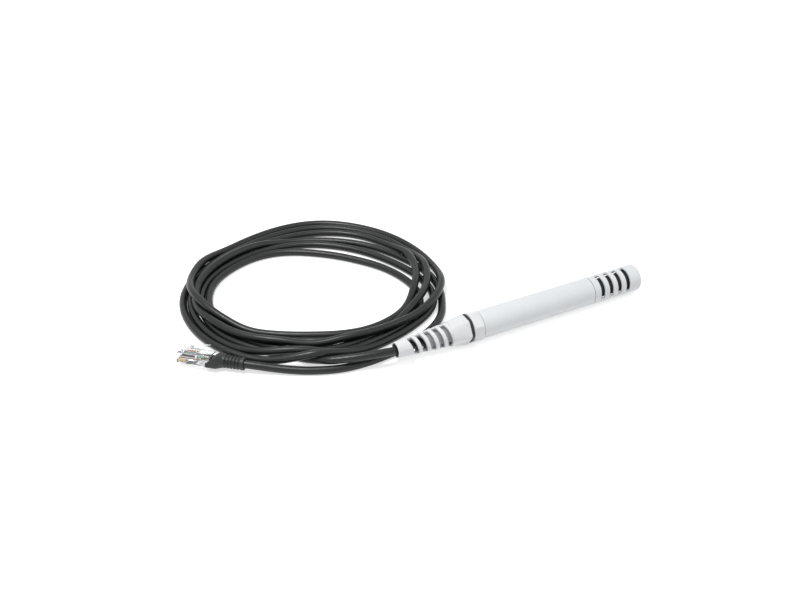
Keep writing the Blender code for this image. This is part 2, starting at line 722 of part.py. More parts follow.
def make_coil(materials):
    """The outer shape of the round coil, as a ring turned about the vertical."""
    centre = holder("coil_centre", (*COIL_CENTRE, 0.0))
    centre.rotation_euler = (0.0, -math.pi / 2, 0.0)
    size = COIL_EDGE_ROUND
    outline = round_corner(COIL_HEIGHT - size, COIL_OUTER_RADIUS - size, size, 0, 90)
    outline += round_corner(size, COIL_OUTER_RADIUS - size, size, 90, 180)
    outline += round_corner(size, COIL_INNER_RADIUS + size, size, 180, 270)
    outline += round_corner(COIL_HEIGHT - size, COIL_INNER_RADIUS + size, size, 270, 360)
    turned("cord_coil", outline, materials["cord"], centre)


# Plug and boot

def make_plug_shell(materials, plug):
    """Clear shell with the contact slots, the cord's cavity and the latch moulded on."""
    shape = bmesh.new()
    size = (PLUG_LENGTH, PLUG_WIDTH, PLUG_HEIGHT)
    box(shape, size, (-PLUG_LENGTH / 2, 0, 0))
    bmesh.ops.bevel(
        shape, geom=shape.edges[:], offset=PLUG_EDGE, segments=1, affect="EDGES", profile=0.5
    )
    shell = finish_mesh("plug_shell", shape, materials["clear"], plug, smooth=False)
    combine(shell, latch_bar("latch_base", LATCH_BASE_WIDTH, LATCH_BASE_LENGTH, plug), "UNION")
    combine(shell, latch_bar("latch_lever", LATCH_WIDTH, LATCH_LENGTH, plug), "UNION")

    cuts = bmesh.new()
    depth = PLUG_CAVITY_DEPTH + PLUG_EDGE
    cavity = (depth, PLUG_CAVITY_WIDTH, PLUG_CAVITY_HEIGHT)
    box(cuts, cavity, (-PLUG_LENGTH + PLUG_CAVITY_DEPTH - depth / 2, 0, 0))
    window_x = -CRIMP_WINDOW_FROM_NOSE - CRIMP_WINDOW[0] / 2
    window_size = (*CRIMP_WINDOW[:2], 2 * CRIMP_WINDOW[2])
    box(cuts, window_size, (window_x, 0, -PLUG_HEIGHT / 2))
    cutter = finish_mesh("plug_cavity_cutter", cuts, None, plug, smooth=False)
    combine(shell, cutter, "DIFFERENCE")

    tunnel = bmesh.new()
    tunnel_length = PLUG_LENGTH - PLUG_CAVITY_DEPTH - TUNNEL_FROM_NOSE + PLUG_EDGE
    tunnel_size = (tunnel_length, TUNNEL_WIDTH, TUNNEL_HEIGHT)
    box(tunnel, tunnel_size, (-TUNNEL_FROM_NOSE - tunnel_length / 2, 0, 0))
    cutter = finish_mesh("wire_tunnel_cutter", tunnel, None, plug, smooth=False)
    combine(shell, cutter, "DIFFERENCE")

    slots = bmesh.new()
    slot_height = PLUG_HEIGHT / 2
    slot_length = CONTACT_LENGTH + 2 * SEAT_GAP
    slot_x = -CONTACT_FROM_NOSE - CONTACT_LENGTH / 2
    slot_size = (slot_length, CONTACT_THICKNESS + 2 * FINE_GAP, slot_height)
    for y in contact_places():
        box(slots, slot_size, (slot_x, y, -PLUG_EDGE - slot_height / 2))
    cutter = finish_mesh("contact_slot_cutter", slots, None, plug, smooth=False)
    combine(shell, cutter, "DIFFERENCE")


def contact_places():
    middle = (CONTACT_COUNT - 1) / 2
    return [(number - middle) * CONTACT_PITCH for number in range(CONTACT_COUNT)]


def latch_bar(name, width, length, plug):
    """A bar that leaves the nose's top edge and rises towards the cord."""
    top = PLUG_HEIGHT / 2
    slope = LATCH_RISE / LATCH_LENGTH
    end = LATCH_ROOT + length
    lift = slope * length
    side = [
        (-LATCH_ROOT, top - LATCH_THICKNESS / 2),
        (-LATCH_ROOT, top + LATCH_THICKNESS),
        (-end, top + LATCH_THICKNESS + lift),
        (-end, top + LATCH_THICKNESS / 2 + lift),
        (-LATCH_ROOT - 2 * LATCH_THICKNESS, top + LATCH_THICKNESS / 2),
        (-LATCH_ROOT - 2 * LATCH_THICKNESS, top - LATCH_THICKNESS / 2),
    ]
    return side_plate(name, side, width, plug)


def side_plate(name, side, width, plug):
    """A plate across the plug whose side view is the closed outline of (x, z) points."""
    shape = bmesh.new()
    face = shape.faces.new([shape.verts.new((x, -width / 2, z)) for x, z in side])
    extruded = bmesh.ops.extrude_face_region(shape, geom=[face])["geom"]
    moved = [item for item in extruded if isinstance(item, bmesh.types.BMVert)]
    bmesh.ops.translate(shape, verts=moved, vec=(0, width, 0))
    return finish_mesh(name, shape, None, plug, smooth=False)


def make_contacts(materials, plug):
    top = -CONDUCTOR_DIAMETER / 2 - FINE_GAP
    bottom = -PLUG_HEIGHT / 2 + CONTACT_RECESS
    size = (CONTACT_LENGTH, CONTACT_THICKNESS, top - bottom)
    x = -CONTACT_FROM_NOSE - CONTACT_LENGTH / 2
    for number, y in enumerate(contact_places(), 1):
        centre = (x, y, (top + bottom) / 2)
        box_piece(f"contact_{number}", size, centre, materials["gold"], plug)


def make_conductors(materials, plug):
    """Eight cores in a flat row, gathered in two layers where they leave the jacket."""
    front = -TUNNEL_FROM_NOSE - SEAT_GAP
    jacket = CORD_IN_PLUG - PLUG_LENGTH + SEAT_GAP
    row_end = jacket + CONDUCTOR_FAN_LENGTH
    for number, y in enumerate(contact_places()):
        layer = CONDUCTOR_LAYER_HEIGHT if number % 2 else -CONDUCTOR_LAYER_HEIGHT
        bunched = Vector((jacket, CONDUCTOR_BUNCH_SHARE * y, layer))
        along = Vector((CONDUCTOR_STRAIGHT, 0, 0))
        route = [bunched, bunched + along, Vector((row_end, y, 0)), Vector((front, y, 0))]
        points = smooth_points(route[:3], 2 * CONDUCTOR_DIAMETER) + [route[3]]
        colour = materials["core_colours"][number]
        tube_along(f"conductor_{number + 1}", points, CONDUCTOR_DIAMETER / 2, colour, plug, 1)


def rounded_section(shape, x, half_width, half_height, corner, steps=6):
    """One ring of vertices: a rectangle with round corners, across the plug's axis."""
    ring = []
    corners = ((1, 1, 0), (-1, 1, 90), (-1, -1, 180), (1, -1, 270))
    for side_y, side_z, start in corners:
        for step in range(steps):
            angle = math.radians(start + 90 * step / (steps - 1))
            y = side_y * (half_width - corner) + corner * math.cos(angle)
            z = side_z * (half_height - corner) + corner * math.sin(angle)
            ring.append(shape.verts.new((x, y, z)))
    return ring


def loft(shape, rings):
    for a, b in zip(rings, rings[1:]):
        count = len(a)
        for i in range(count):
            shape.faces.new((a[i], a[(i + 1) % count], b[(i + 1) % count], b[i]))
    shape.faces.new(rings[0])
    shape.faces.new(rings[-1])


def make_boot(materials, plug):
    """Moulded boot: a hood over the rear of the plug, a taper and a ribbed neck."""
    front = BOOT_LENGTH - BOOT_END_FROM_NOSE
    hood_end = front - BOOT_HOOD_LENGTH + BOOT_TAPER_LENGTH
    neck_start = front - BOOT_HOOD_LENGTH
    half_width = PLUG_WIDTH / 2 + SEAT_GAP + BOOT_WALL
    half_height = PLUG_HEIGHT / 2 + SEAT_GAP + BOOT_WALL
    corner = BOOT_CORNER_RADIUS
    shape = bmesh.new()
    rings = [
        rounded_section(shape, front, half_width, half_height, corner),
        rounded_section(shape, hood_end, half_width, half_height, corner),
    ]
    for step in range(1, ARC_STEPS):
        share = step / ARC_STEPS
        ease = share * share * (3 - 2 * share)
        x = hood_end + (neck_start - hood_end) * share
        width = half_width + (BOOT_NECK_RADIUS - half_width) * ease
        height = half_height + (BOOT_NECK_RADIUS - half_height) * ease
        blend = corner + (BOOT_NECK_RADIUS - corner) * ease
        radius = min(blend, width - LOFT_ROUND, height - LOFT_ROUND)
        rings.append(rounded_section(shape, x, width, height, radius))
    for x, radius in neck_outline(neck_start):
        rings.append(rounded_section(shape, x, radius, radius, radius - LOFT_ROUND))
    loft(shape, rings)
    boot = finish_mesh("plug_boot", shape, materials["boot"], plug)

    pocket = bmesh.new()
    depth = front + PLUG_LENGTH + SEAT_GAP + corner
    size = (depth, PLUG_WIDTH + 2 * SEAT_GAP, PLUG_HEIGHT + 2 * SEAT_GAP)
    box(pocket, size, (front + corner - depth / 2, 0, 0))
    cutter = finish_mesh("boot_pocket_cutter", pocket, None, plug, smooth=False)
    combine(boot, cutter, "DIFFERENCE")

    above = half_height + corner
    mouth = [
        (front + corner, BOOT_JAW_TOP),
        (front, BOOT_JAW_TOP),
        (front - BOOT_MOUTH_SLOPE, half_height),
        (front - BOOT_MOUTH_SLOPE, above),
        (front + corner, above),
    ]
    combine(boot, side_plate("boot_mouth_cutter", mouth, 2 * half_width + corner, plug), "DIFFERENCE")

    hole_radius = CORD_RADIUS + SEAT_GAP
    hole_start = -BOOT_END_FROM_NOSE - corner
    hole_end = -PLUG_LENGTH
    outline = [(hole_start, hole_radius), (hole_end, hole_radius), (hole_end, 0), (hole_start, 0)]
    cutter = turned("boot_hole_cutter", outline, None, plug, SMALL_TURN_STEPS)
    combine(boot, cutter, "DIFFERENCE")


def neck_outline(neck_start):
    """(x, radius) points of the ribs and the plain end ring, from the taper to the end."""
    end = -BOOT_END_FROM_NOSE
    ribs_end = end + BOOT_END_RING
    points = [(neck_start, BOOT_NECK_RADIUS)]
    groove = BOOT_RIB_PITCH / 4
    first = ribs_end + BOOT_RIB_COUNT * BOOT_RIB_PITCH
    for number in range(BOOT_RIB_COUNT):
        share = number / BOOT_RIB_COUNT
        outer = BOOT_NECK_RADIUS + (BOOT_TAIL_RADIUS - BOOT_NECK_RADIUS) * share
        x = first - number * BOOT_RIB_PITCH
        points += [
            (x, outer),
            (x - groove, outer - BOOT_GROOVE_DEPTH),
            (x - 2 * groove, outer - BOOT_GROOVE_DEPTH),
            (x - 3 * groove, outer),
        ]
    points += [(ribs_end, BOOT_TAIL_RADIUS), (end + SEAT_GAP, BOOT_TAIL_RADIUS)]
    points.append((end, BOOT_TAIL_RADIUS - SEAT_GAP))
    return points


def main():
    clear_scene()
    materials = make_materials()
    probe = holder("probe_axis", (0.0, 0.0, AXIS_HEIGHT))
    plug = holder("plug_axis", PLUG_NOSE, heading=PLUG_HEADING, roll=PLUG_ROLL)
    bpy.context.view_layer.update()

    make_probe_tube(materials, probe)
    make_vent_cap(materials, probe)
    make_vent_screen(materials, probe)
    make_gland_body(materials, probe)
    make_seal_washer(materials, probe)
    make_clamp_grommet(materials, probe)
    make_cap_nut(materials, probe)
    make_board(materials, probe)
    make_carrier("rear_carrier", REAR_CARRIER_X, materials, probe)
    make_carrier("front_carrier", FRONT_CARRIER_X, materials, probe)
    make_components(materials, probe)
    make_leads(materials, probe)
    make_cord(materials, plug)
    make_coil(materials)
    make_plug_shell(materials, plug)
    make_contacts(materials, plug)
    make_conductors(materials, plug)
    make_boot(materials, plug)
    bpy.context.view_layer.update()


main()
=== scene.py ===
"""Picture scene of the rack temperature sensor, in the frame of its CAD part.

The CAD nodes are loaded first. Each piece that shows is then built again in finer detail, in
the same place, and the cord is laid as one piece through its whole coil. Sizes are metres,
written as millimetres times MM, and the points of the cord are plain millimetres. The slots
of the cap and the tail, the gap at the nut and the spigot differ a little from the CAD's, to
match the photo.
"""

import math

import bmesh
import bpy
import numpy as np
from mathutils import Matrix, Vector


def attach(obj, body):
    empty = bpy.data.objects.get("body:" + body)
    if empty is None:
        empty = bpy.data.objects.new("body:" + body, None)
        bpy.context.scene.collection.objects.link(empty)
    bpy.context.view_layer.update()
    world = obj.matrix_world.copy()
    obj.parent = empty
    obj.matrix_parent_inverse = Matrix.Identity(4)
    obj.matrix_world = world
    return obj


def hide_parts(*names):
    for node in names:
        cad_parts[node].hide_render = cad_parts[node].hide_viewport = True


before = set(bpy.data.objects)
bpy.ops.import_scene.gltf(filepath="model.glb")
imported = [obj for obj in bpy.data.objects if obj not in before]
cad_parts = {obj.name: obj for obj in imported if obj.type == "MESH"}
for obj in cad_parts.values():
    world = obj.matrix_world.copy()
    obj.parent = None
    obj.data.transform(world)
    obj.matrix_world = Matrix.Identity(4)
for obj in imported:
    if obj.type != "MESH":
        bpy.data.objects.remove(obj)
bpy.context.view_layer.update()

MM = 0.001

# Clearances, facets and small rounds
SEAT_GAP = 0.3 * MM
FINE_GAP = 0.12 * MM
TURN_STEPS = 144
ARC_STEPS = 8
SPAN_STEPS = 20
ROUND_SEGMENTS = 3
SMOOTH_ANGLE = math.radians(32)
BEVEL_ANGLE = math.radians(34)
TUBE_EDGE_ROUND = 0.25 * MM
SLOT_EDGE_ROUND = 0.15 * MM
COLLAR_EDGE_ROUND = 0.25 * MM
RELIEF_EDGE_ROUND = 0.35 * MM
RELIEF_SLOT_STEPS = 40
CONTACT_END_ROUND = 0.5 * MM
LATCH_STEPS = 16
LATCH_BOW = 0.9 * MM
LATCH_ROOT_SHARE = 0.12
CORE_FACETS = 20
BOOT_CORNER_STEPS = 14
BOOT_TAPER_STEPS = 14
BOOT_RIB_STEPS = 12
BOOT_CREST_SHARE = 0.25
BOOT_FLANK_SLOPE = 1.6
BOOT_END_ROUND = 0.5 * MM

# Probe lengths, from the mouth of the tail to the end of the cap, and where the tail ends
NUT_FRONT_X = -53.6 * MM
TAIL_LENGTH = 36.9 * MM
NUT_LENGTH = 12.4 * MM
NUT_GAP = 2.2 * MM
COLLAR_LENGTH = 7.2 * MM
TUBE_LENGTH = 84.3 * MM
CAP_LENGTH = 38.0 * MM

# Probe tube and vented cap
HOUSING_DIAMETER = 18.0 * MM
TUBE_WALL = 2.5 * MM
SPIGOT_LENGTH = 4.7 * MM
CAP_WALL = 1.2 * MM
CAP_END_WALL = 2.0 * MM
CAP_EDGE_ROUND = 1.8 * MM
SLOT_COUNT = 4
SLOT_PITCH = 6.75 * MM
SLOT_WIDTH = 3.4 * MM
FIRST_SLOT_FROM_JOINT = 6.6 * MM
SLOT_CHORD_SHARE = 0.38
SLOT_TURN = math.radians(45)
SCREEN_WALL = 0.6 * MM
SCREEN_SOCKET = 5.0 * MM

# Gland body with its hexagonal collar
COLLAR_ACROSS_FLATS = 18.0 * MM
COLLAR_CORNER_RADIUS = 10.15 * MM
COLLAR_CHAMFER = 0.9 * MM
COLLAR_TURN = math.radians(30)
COLLAR_CORE_RADIUS = 8.0 * MM
GLAND_SPIGOT_LENGTH = 6.5 * MM
GLAND_SPIGOT_BORE_RADIUS = 4.6 * MM
NOSE_LENGTH = 9.4 * MM
NOSE_RADIUS = 5.6 * MM
NOSE_BORE_RADIUS = 4.4 * MM
NOSE_BORE_DEPTH = 6.6 * MM
CORD_HOLE_CLEARANCE = 0.4 * MM
GROMMET_REACH = 1.0 * MM
WASHER_ACROSS_FLATS = 16.6 * MM
WASHER_CORNER_RADIUS = 9.4 * MM

# Cap nut moulded in one with the flexing tail
NUT_ACROSS_FLATS = 17.0 * MM
NUT_CORNER_RADIUS = 9.7 * MM
NUT_FRONT_RADIUS = 7.95 * MM
NUT_CONE_LENGTH = 10.6 * MM
NUT_CHAMFER = 0.4 * MM
NUT_TURN = 0.0
NUT_CAVITY_CONE = 1.8 * MM
TAIL_ROOT_RADIUS = 7.75 * MM
TAIL_MOUTH_RADIUS = 5.2 * MM
TAIL_MOUTH_ROUND = 0.5 * MM
TAIL_MOUTH_BORE_RADIUS = 4.3 * MM
TAIL_BORE_RADIUS = 3.1 * MM
TAIL_WIDE_BORE_LENGTH = 18.2 * MM
TAIL_BORE_TAPER = 8.0 * MM
RELIEF_SLOT_COUNT = 5
RELIEF_SLOT_PITCH = 5.78 * MM
RELIEF_SLOT_WIDTH = 3.4 * MM
RELIEF_SLOT_DEPTH = 2.4 * MM
RELIEF_SLOT_LEAD = 8.7 * MM
RELIEF_SLOT_CENTRE = math.radians(14)
RELIEF_SLOT_HALF_ANGLE = math.radians(84)
FIRST_RELIEF_SLOT = 11.2 * MM

# Cord: where it leaves the gland, and where its hidden end and the coil's middle are
CORD_DIAMETER = 5.2 * MM
CORD_STEP = 2.2 * MM
CORD_FACETS = 6
CORD_START = (-37.0, 0.0, 10.15)
COIL_CENTRE = (-102.53, 98.98)
# The cord from the mouth of the tail to the coil, over the run to the plug
GLAND_RUN_ROUTE = (
    (-87.35, 0.0, 10.15), (-92.55, 0.2, 10.15), (-98.35, 1.2, 10.1), (-104.35, 2.5, 9.9),
    (-111.35, 4.7, 9.4), (-117.85, 7.4, 8.6), (-123.85, 10.4, 7.7), (-128.85, 13.3, 7.0),
)
# The cord from the coil, behind the tail, to the boot of the plug
PLUG_RUN_ROUTE = (
    (-36.35, 38.3, 2.6), (-40.85, 31.2, 2.6), (-48.85, 23.2, 2.6), (-60.35, 16.3, 2.6),
    (-74.35, 11.0, 2.6), (-89.35, 7.6, 2.6), (-108.35, 6.2, 2.6), (-124.35, 8.0, 2.6),
    (-140.35, 14.0, 2.6), (-152.35, 20.6, 3.0), (-161.85, 26.6, 3.8), (-168.85, 31.0, 4.7),
)

# Plug and boot, along local X from the nose at zero back to the cord
PLUG_NOSE = (-207.3 * MM, 63.67 * MM, 5.35 * MM)
PLUG_HEADING = math.radians(138.5)
PLUG_ROLL = math.radians(16)
PLUG_LENGTH = 21.5 * MM
PLUG_WIDTH = 11.7 * MM
PLUG_HEIGHT = 6.8 * MM
PLUG_EDGE = 0.35 * MM
PLUG_CAVITY_WIDTH = 8.8 * MM
PLUG_CAVITY_HEIGHT = 5.7 * MM
PLUG_CAVITY_DEPTH = 9.5 * MM
TUNNEL_WIDTH = 8.6 * MM
TUNNEL_HEIGHT = 1.3 * MM
TUNNEL_FROM_NOSE = 2.2 * MM
CRIMP_WINDOW = (3.0 * MM, 6.4 * MM, 0.3 * MM)
CRIMP_WINDOW_FROM_NOSE = 14.6 * MM
CONTACT_COUNT = 8
CONTACT_PITCH = 1.02 * MM
CONTACT_LENGTH = 4.4 * MM
CONTACT_THICKNESS = 0.36 * MM
CONTACT_FROM_NOSE = 1.3 * MM
CONTACT_RECESS = 0.5 * MM
CONDUCTOR_DIAMETER = 0.8 * MM
CONDUCTOR_FAN_LENGTH = 5.0 * MM
CONDUCTOR_BUNCH_SHARE = 0.45
CONDUCTOR_LAYER_HEIGHT = 0.6 * MM
CONDUCTOR_STRAIGHT = 1.0 * MM
LATCH_ROOT = 1.0 * MM
LATCH_THICKNESS = 0.9 * MM
LATCH_LENGTH = 18.6 * MM
LATCH_RISE = 4.3 * MM
LATCH_WIDTH = 3.2 * MM
LATCH_BASE_WIDTH = 6.0 * MM
LATCH_BASE_LENGTH = 7.6 * MM
BOOT_LENGTH = 23.3 * MM
BOOT_END_FROM_NOSE = 42.4 * MM
BOOT_WALL = 0.45 * MM
BOOT_CORNER_RADIUS = 2.0 * MM
BOOT_HOOD_LENGTH = 10.3 * MM
BOOT_TAPER_LENGTH = 5.0 * MM
BOOT_MOUTH_SLOPE = 6.4 * MM
BOOT_JAW_TOP = -0.8 * MM
LOFT_ROUND = 0.05 * MM
BOOT_NECK_RADIUS = 4.3 * MM
BOOT_TAIL_RADIUS = 4.0 * MM
BOOT_RIB_COUNT = 5
BOOT_RIB_PITCH = 2.15 * MM
BOOT_GROOVE_DEPTH = 0.7 * MM
BOOT_END_RING = 1.9 * MM
CORD_IN_PLUG = 1.2 * MM

# Stations along the probe, worked out from the lengths above
MOUTH_X = NUT_FRONT_X - TAIL_LENGTH
NUT_REAR_X = NUT_FRONT_X + NUT_LENGTH
COLLAR_FRONT_X = NUT_REAR_X + NUT_GAP
COLLAR_REAR_X = COLLAR_FRONT_X + COLLAR_LENGTH
CAP_JOINT_X = COLLAR_REAR_X + TUBE_LENGTH
CAP_END_X = CAP_JOINT_X + CAP_LENGTH
HOUSING_RADIUS = HOUSING_DIAMETER / 2
TUBE_BORE_RADIUS = HOUSING_RADIUS - TUBE_WALL
CAP_BORE_RADIUS = HOUSING_RADIUS - CAP_WALL
AXIS_HEIGHT = COLLAR_CORNER_RADIUS
CORD_RADIUS = CORD_DIAMETER / 2
CORD_HOLE_RADIUS = CORD_RADIUS + CORD_HOLE_CLEARANCE

# Painted shade on the pale mouldings: their base colour darkens in crevices this near, and on the
# floors of the tail's slots
PAINTED_CREVICE_SHADE = (0.16, 0.17, 0.175)
CREVICE_REACH = 3.0 * MM
PAINTED_SLOT_SHADE = (0.30, 0.31, 0.32)
SLOT_SHADE_DEPTHS = (0.5 * MM, 1.6 * MM)

# Noise in the moulded surfaces, in features a metre, and how much darker their specks are
CLOUD_SCALE = 90.0
SPECK_SCALE = 2600.0
GLOSS_SCALE = 420.0
SPECK_SHADE = 0.82

# The slot and the colour of each core, and whether that colour is a stripe on white
CORE_COLOURS = {
    "core_white_orange": ((0.80, 0.22, 0.03), True),
    "core_orange": ((0.80, 0.22, 0.03), False),
    "core_white_green": ((0.05, 0.38, 0.12), True),
    "core_blue": ((0.03, 0.10, 0.50), False),
    "core_white_blue": ((0.03, 0.10, 0.50), True),
    "core_green": ((0.03, 0.32, 0.10), False),
    "core_white_brown": ((0.24, 0.11, 0.05), True),
    "core_brown": ((0.22, 0.10, 0.05), False),
}
# The pieces inside the probe, which keep their CAD shape, and the material slot of each
INNER_NODES = {
    "sensor_board": "board",
    "rear_carrier": "header",
    "front_carrier": "header",
    "temperature_chip": "chip",
    "interface_chip": "chip",
    "capacitor_1": "ceramic",
    "capacitor_2": "ceramic",
    "wire_header": "header",
    "clamp_grommet": "rubber",
    "lead_wire_1": "core_orange",
    "lead_wire_2": "core_blue",
    "lead_wire_3": "core_green",
    "lead_wire_4": "core_brown",
}

# Turns of the coil. Each row is one turn of the cord from the front of the coil, over its
# left, back and right sides. Each entry is (angle in degrees, radius, height) in millimetres.
# Angle 0 is the side of the coil that faces the camera, and 90 is its left side.
COIL_FRONT_ANGLE = math.radians(27.417)
COIL_TURNS = (
    ((0, 80.5, 2.6), (45, 78.0, 2.6), (90, 74.0, 2.6), (112, 67.6, 2.6), (135, 62.2, 2.6),
     (160, 58.0, 2.6), (180, 55.2, 2.6), (205, 55.0, 2.6), (225, 57.8, 2.6),
     (240, 62.2, 2.6), (255, 69.0, 2.6), (270, 78.5, 2.6), (285, 84.3, 2.6),
     (302, 80.8, 2.6), (314, 79.8, 2.6), (323, 79.5, 3.2)),
    ((0, 86.0, 7.8), (45, 87.0, 5.0), (90, 84.8, 2.6), (105, 80.2, 2.6), (120, 75.2, 2.6),
     (135, 73.0, 2.6), (160, 75.8, 2.6), (180, 78.8, 4.0), (225, 79.3, 4.0),
     (270, 77.0, 8.0), (289, 74.6, 8.0), (303, 71.8, 7.0), (320, 70.0, 5.0)),
    ((0, 75.0, 2.6), (45, 72.5, 2.6), (90, 68.8, 2.6), (112, 62.2, 2.6), (135, 55.8, 2.6),
     (180, 43.2, 2.6), (215, 43.8, 2.6), (225, 45.8, 2.6), (237, 50.6, 2.6),
     (250, 56.4, 2.6), (270, 67.5, 2.6), (283, 73.8, 2.6), (292, 75.3, 2.6),
     (315, 75.0, 2.8), (330, 75.5, 4.5)),
    ((0, 78.0, 7.2), (45, 83.0, 4.0), (90, 79.4, 2.6), (105, 74.9, 2.6), (120, 70.0, 2.6),
     (135, 67.7, 2.6), (160, 69.0, 2.6), (180, 71.4, 2.6), (205, 74.2, 2.8),
     (225, 73.2, 4.8), (240, 72.6, 7.8), (250, 72.3, 8.5), (270, 69.7, 8.5),
     (297, 67.2, 8.0), (318, 63.5, 7.0)),
    ((0, 56.0, 5.0), (45, 67.5, 9.0), (60, 75.0, 12.6), (75, 80.0, 11.0), (90, 81.8, 8.4),
     (105, 80.6, 7.4), (116, 80.6, 4.6), (126, 79.8, 2.6), (138, 79.2, 2.6),
     (160, 82.4, 2.6), (180, 85.6, 2.6), (205, 83.4, 2.6), (225, 84.0, 2.6),
     (265, 86.0, 8.0), (280, 85.4, 8.5), (296, 80.5, 9.0), (312, 75.3, 9.0), (325, 72.0, 8.5)),
    ((0, 69.5, 7.8), (45, 76.0, 7.8), (90, 76.6, 7.0), (112, 70.6, 7.2), (135, 65.0, 6.8),
     (180, 60.4, 2.6), (205, 62.8, 2.6), (225, 66.8, 2.6), (245, 74.2, 2.6),
     (262, 83.0, 2.6), (278, 87.5, 2.6)),
)
COIL_STEP_DEGREES = 5
# How the coil settles: what each of its rounds does to the turns
SETTLE_ROUNDS = 1500
CONTACT_SHARE = 1.02
HOLD_SHARE = 0.01
FALL_STEP = 0.012
STIFFNESS = 0.05

# Camera at the photo's angle, light and floor
CAMERA_AIM = (-55.737 * MM, 61.14 * MM, 0.0)
CAMERA_DISTANCE = 0.745
CAMERA_AZIMUTH = -COIL_FRONT_ANGLE
CAMERA_ELEVATION = math.radians(34.0)
CAMERA_LENS = 50.0
CAMERA_SENSOR = 36.0
ROOM_LIGHT = 0.38
KEY_POWER = 6.2
FILL_POWER = 1.2
KEY_PLACE = (-0.36, 0.06, 0.92)
KEY_SIZE = 0.32
FILL_PLACE = (0.55, -0.45, 0.6)
FILL_SIZE = 0.8
FLOOR_SIZE = 6.0
FLOOR_DROP = 0.05 * MM
FLOOR_GREY = 0.85
FLOOR_LIFT = 0.6


# Helpers

def smooth_points(route, spacing):
    """Points at an even spacing on a smooth curve through the route's own points."""
    knots = np.array([2 * route[0] - route[1], *route, 2 * route[-1] - route[-2]])
    t = np.linspace(0, 1, SPAN_STEPS, endpoint=False)[:, None]
    fine = []
    for before, start, end, after in zip(knots, knots[1:], knots[2:], knots[3:]):
        fine.append(
            start
            + (end - before) * t / 2
            + (2 * before - 5 * start + 4 * end - after) * t**2 / 2
            + (3 * start - before - 3 * end + after) * t**3 / 2
        )
    fine = np.vstack([*fine, knots[-2:-1]])
    travelled = np.append(0, np.cumsum(np.linalg.norm(np.diff(fine, axis=0), axis=1)))
    places = np.linspace(0, travelled[-1], max(2, round(travelled[-1] / spacing) + 1))
    return [Vector([np.interp(d, travelled, axis) for axis in fine.T]) for d in places]


def link(piece):
    bpy.context.scene.collection.objects.link(piece)
    return piece


def finish_mesh(name, shape, smooth=True):
    """Turns a bmesh into an object whose faces point out."""
    bmesh.ops.recalc_face_normals(shape, faces=shape.faces)
    mesh = bpy.data.meshes.new(name)
    shape.to_mesh(mesh)
    shape.free()
    if smooth:
        smooth_shading(mesh)
    return link(bpy.data.objects.new(name, mesh))


def smooth_shading(mesh):
    mesh.shade_smooth()
    mesh.set_sharp_from_angle(angle=SMOOTH_ANGLE)


def combine(piece, other, operation):
    boolean = piece.modifiers.new(other.name, "BOOLEAN")
    boolean.operation = operation
    boolean.solver = "EXACT"
    boolean.object = other


def settle(piece, *others, edge=0.0):
    """Works the modifiers, and rounds of this size on sharp edges, into the piece's own mesh."""
    if edge:
        bevel = piece.modifiers.new("edge_round", "BEVEL")
        bevel.width = edge
        bevel.segments = ROUND_SEGMENTS
        bevel.limit_method = "ANGLE"
        bevel.angle_limit = BEVEL_ANGLE
    bpy.context.view_layer.update()
    graph = bpy.context.evaluated_depsgraph_get()
    mesh = bpy.data.meshes.new_from_object(piece.evaluated_get(graph))
    piece.modifiers.clear()
    piece.data = mesh
    for other in others:
        bpy.data.objects.remove(other)
    smooth_shading(mesh)
    return piece


def cut(piece, *cutters):
    for cutter in cutters:
        combine(piece, cutter, "DIFFERENCE")
        settle(piece, cutter)


def place(piece, frame_matrix, material, slot, *nodes):
    """Puts a piece in the row frame, in the place of the nodes that it shows in full."""
    piece.data.transform(frame_matrix)
    piece.data.materials.clear()
    piece.data.materials.append(material)
    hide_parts(*nodes)
    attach(piece, "root")


def round_corner(x, radius, size, start, end):
    """Points of a quarter round about (x, radius), from one angle to another in degrees."""
    angles = np.radians(np.linspace(start, end, ARC_STEPS + 1))
    return [(x + size * math.cos(angle), radius + size * math.sin(angle)) for angle in angles]


def turned(name, outline):
    """Spins a closed outline of (x, radius) points once round the X axis."""
    shape = bmesh.new()
    points = [shape.verts.new((x, 0.0, radius)) for x, radius in outline]
    pairs = zip(points, points[1:] + points[:1])
    edges = [shape.edges.new(pair) for pair in pairs if pair[0].co.z + pair[1].co.z > 0]
    bmesh.ops.spin(
        shape, geom=points + edges, cent=(0, 0, 0), axis=(1, 0, 0),
        angle=math.tau, steps=TURN_STEPS, use_merge=True,
    )
    bmesh.ops.remove_doubles(shape, verts=shape.verts, dist=0.001 * MM)
    return finish_mesh(name, shape)


def box(shape, size, centre, turn=None):
    """Adds one box to a bmesh. The turn is applied after the box is moved to its centre."""
    matrix = Matrix.Translation(centre) @ Matrix.Diagonal((*size, 1.0))
    if turn:
        matrix = turn @ matrix
    bmesh.ops.create_cube(shape, size=1.0, matrix=matrix)


def hexagon_ring(name, across_flats, start_x, end_x, envelope, turn):
    """A hexagonal prism along X, trimmed by a turned envelope that rounds its corners."""
    shape = bmesh.new()
    radius = across_flats / math.sqrt(3)
    matrix = (
        Matrix.Translation(((start_x + end_x) / 2, 0, 0))
        @ Matrix.Rotation(turn, 4, "X")
        @ Matrix.Rotation(math.pi / 2, 4, "Y")
    )
    bmesh.ops.create_cone(
        shape, cap_ends=True, segments=6, radius1=radius, radius2=radius,
        depth=end_x - start_x, matrix=matrix,
    )
    prism = finish_mesh(name, shape, smooth=False)
    trim = turned(name + "_trim", envelope)
    combine(prism, trim, "INTERSECT")
    return settle(prism, trim)


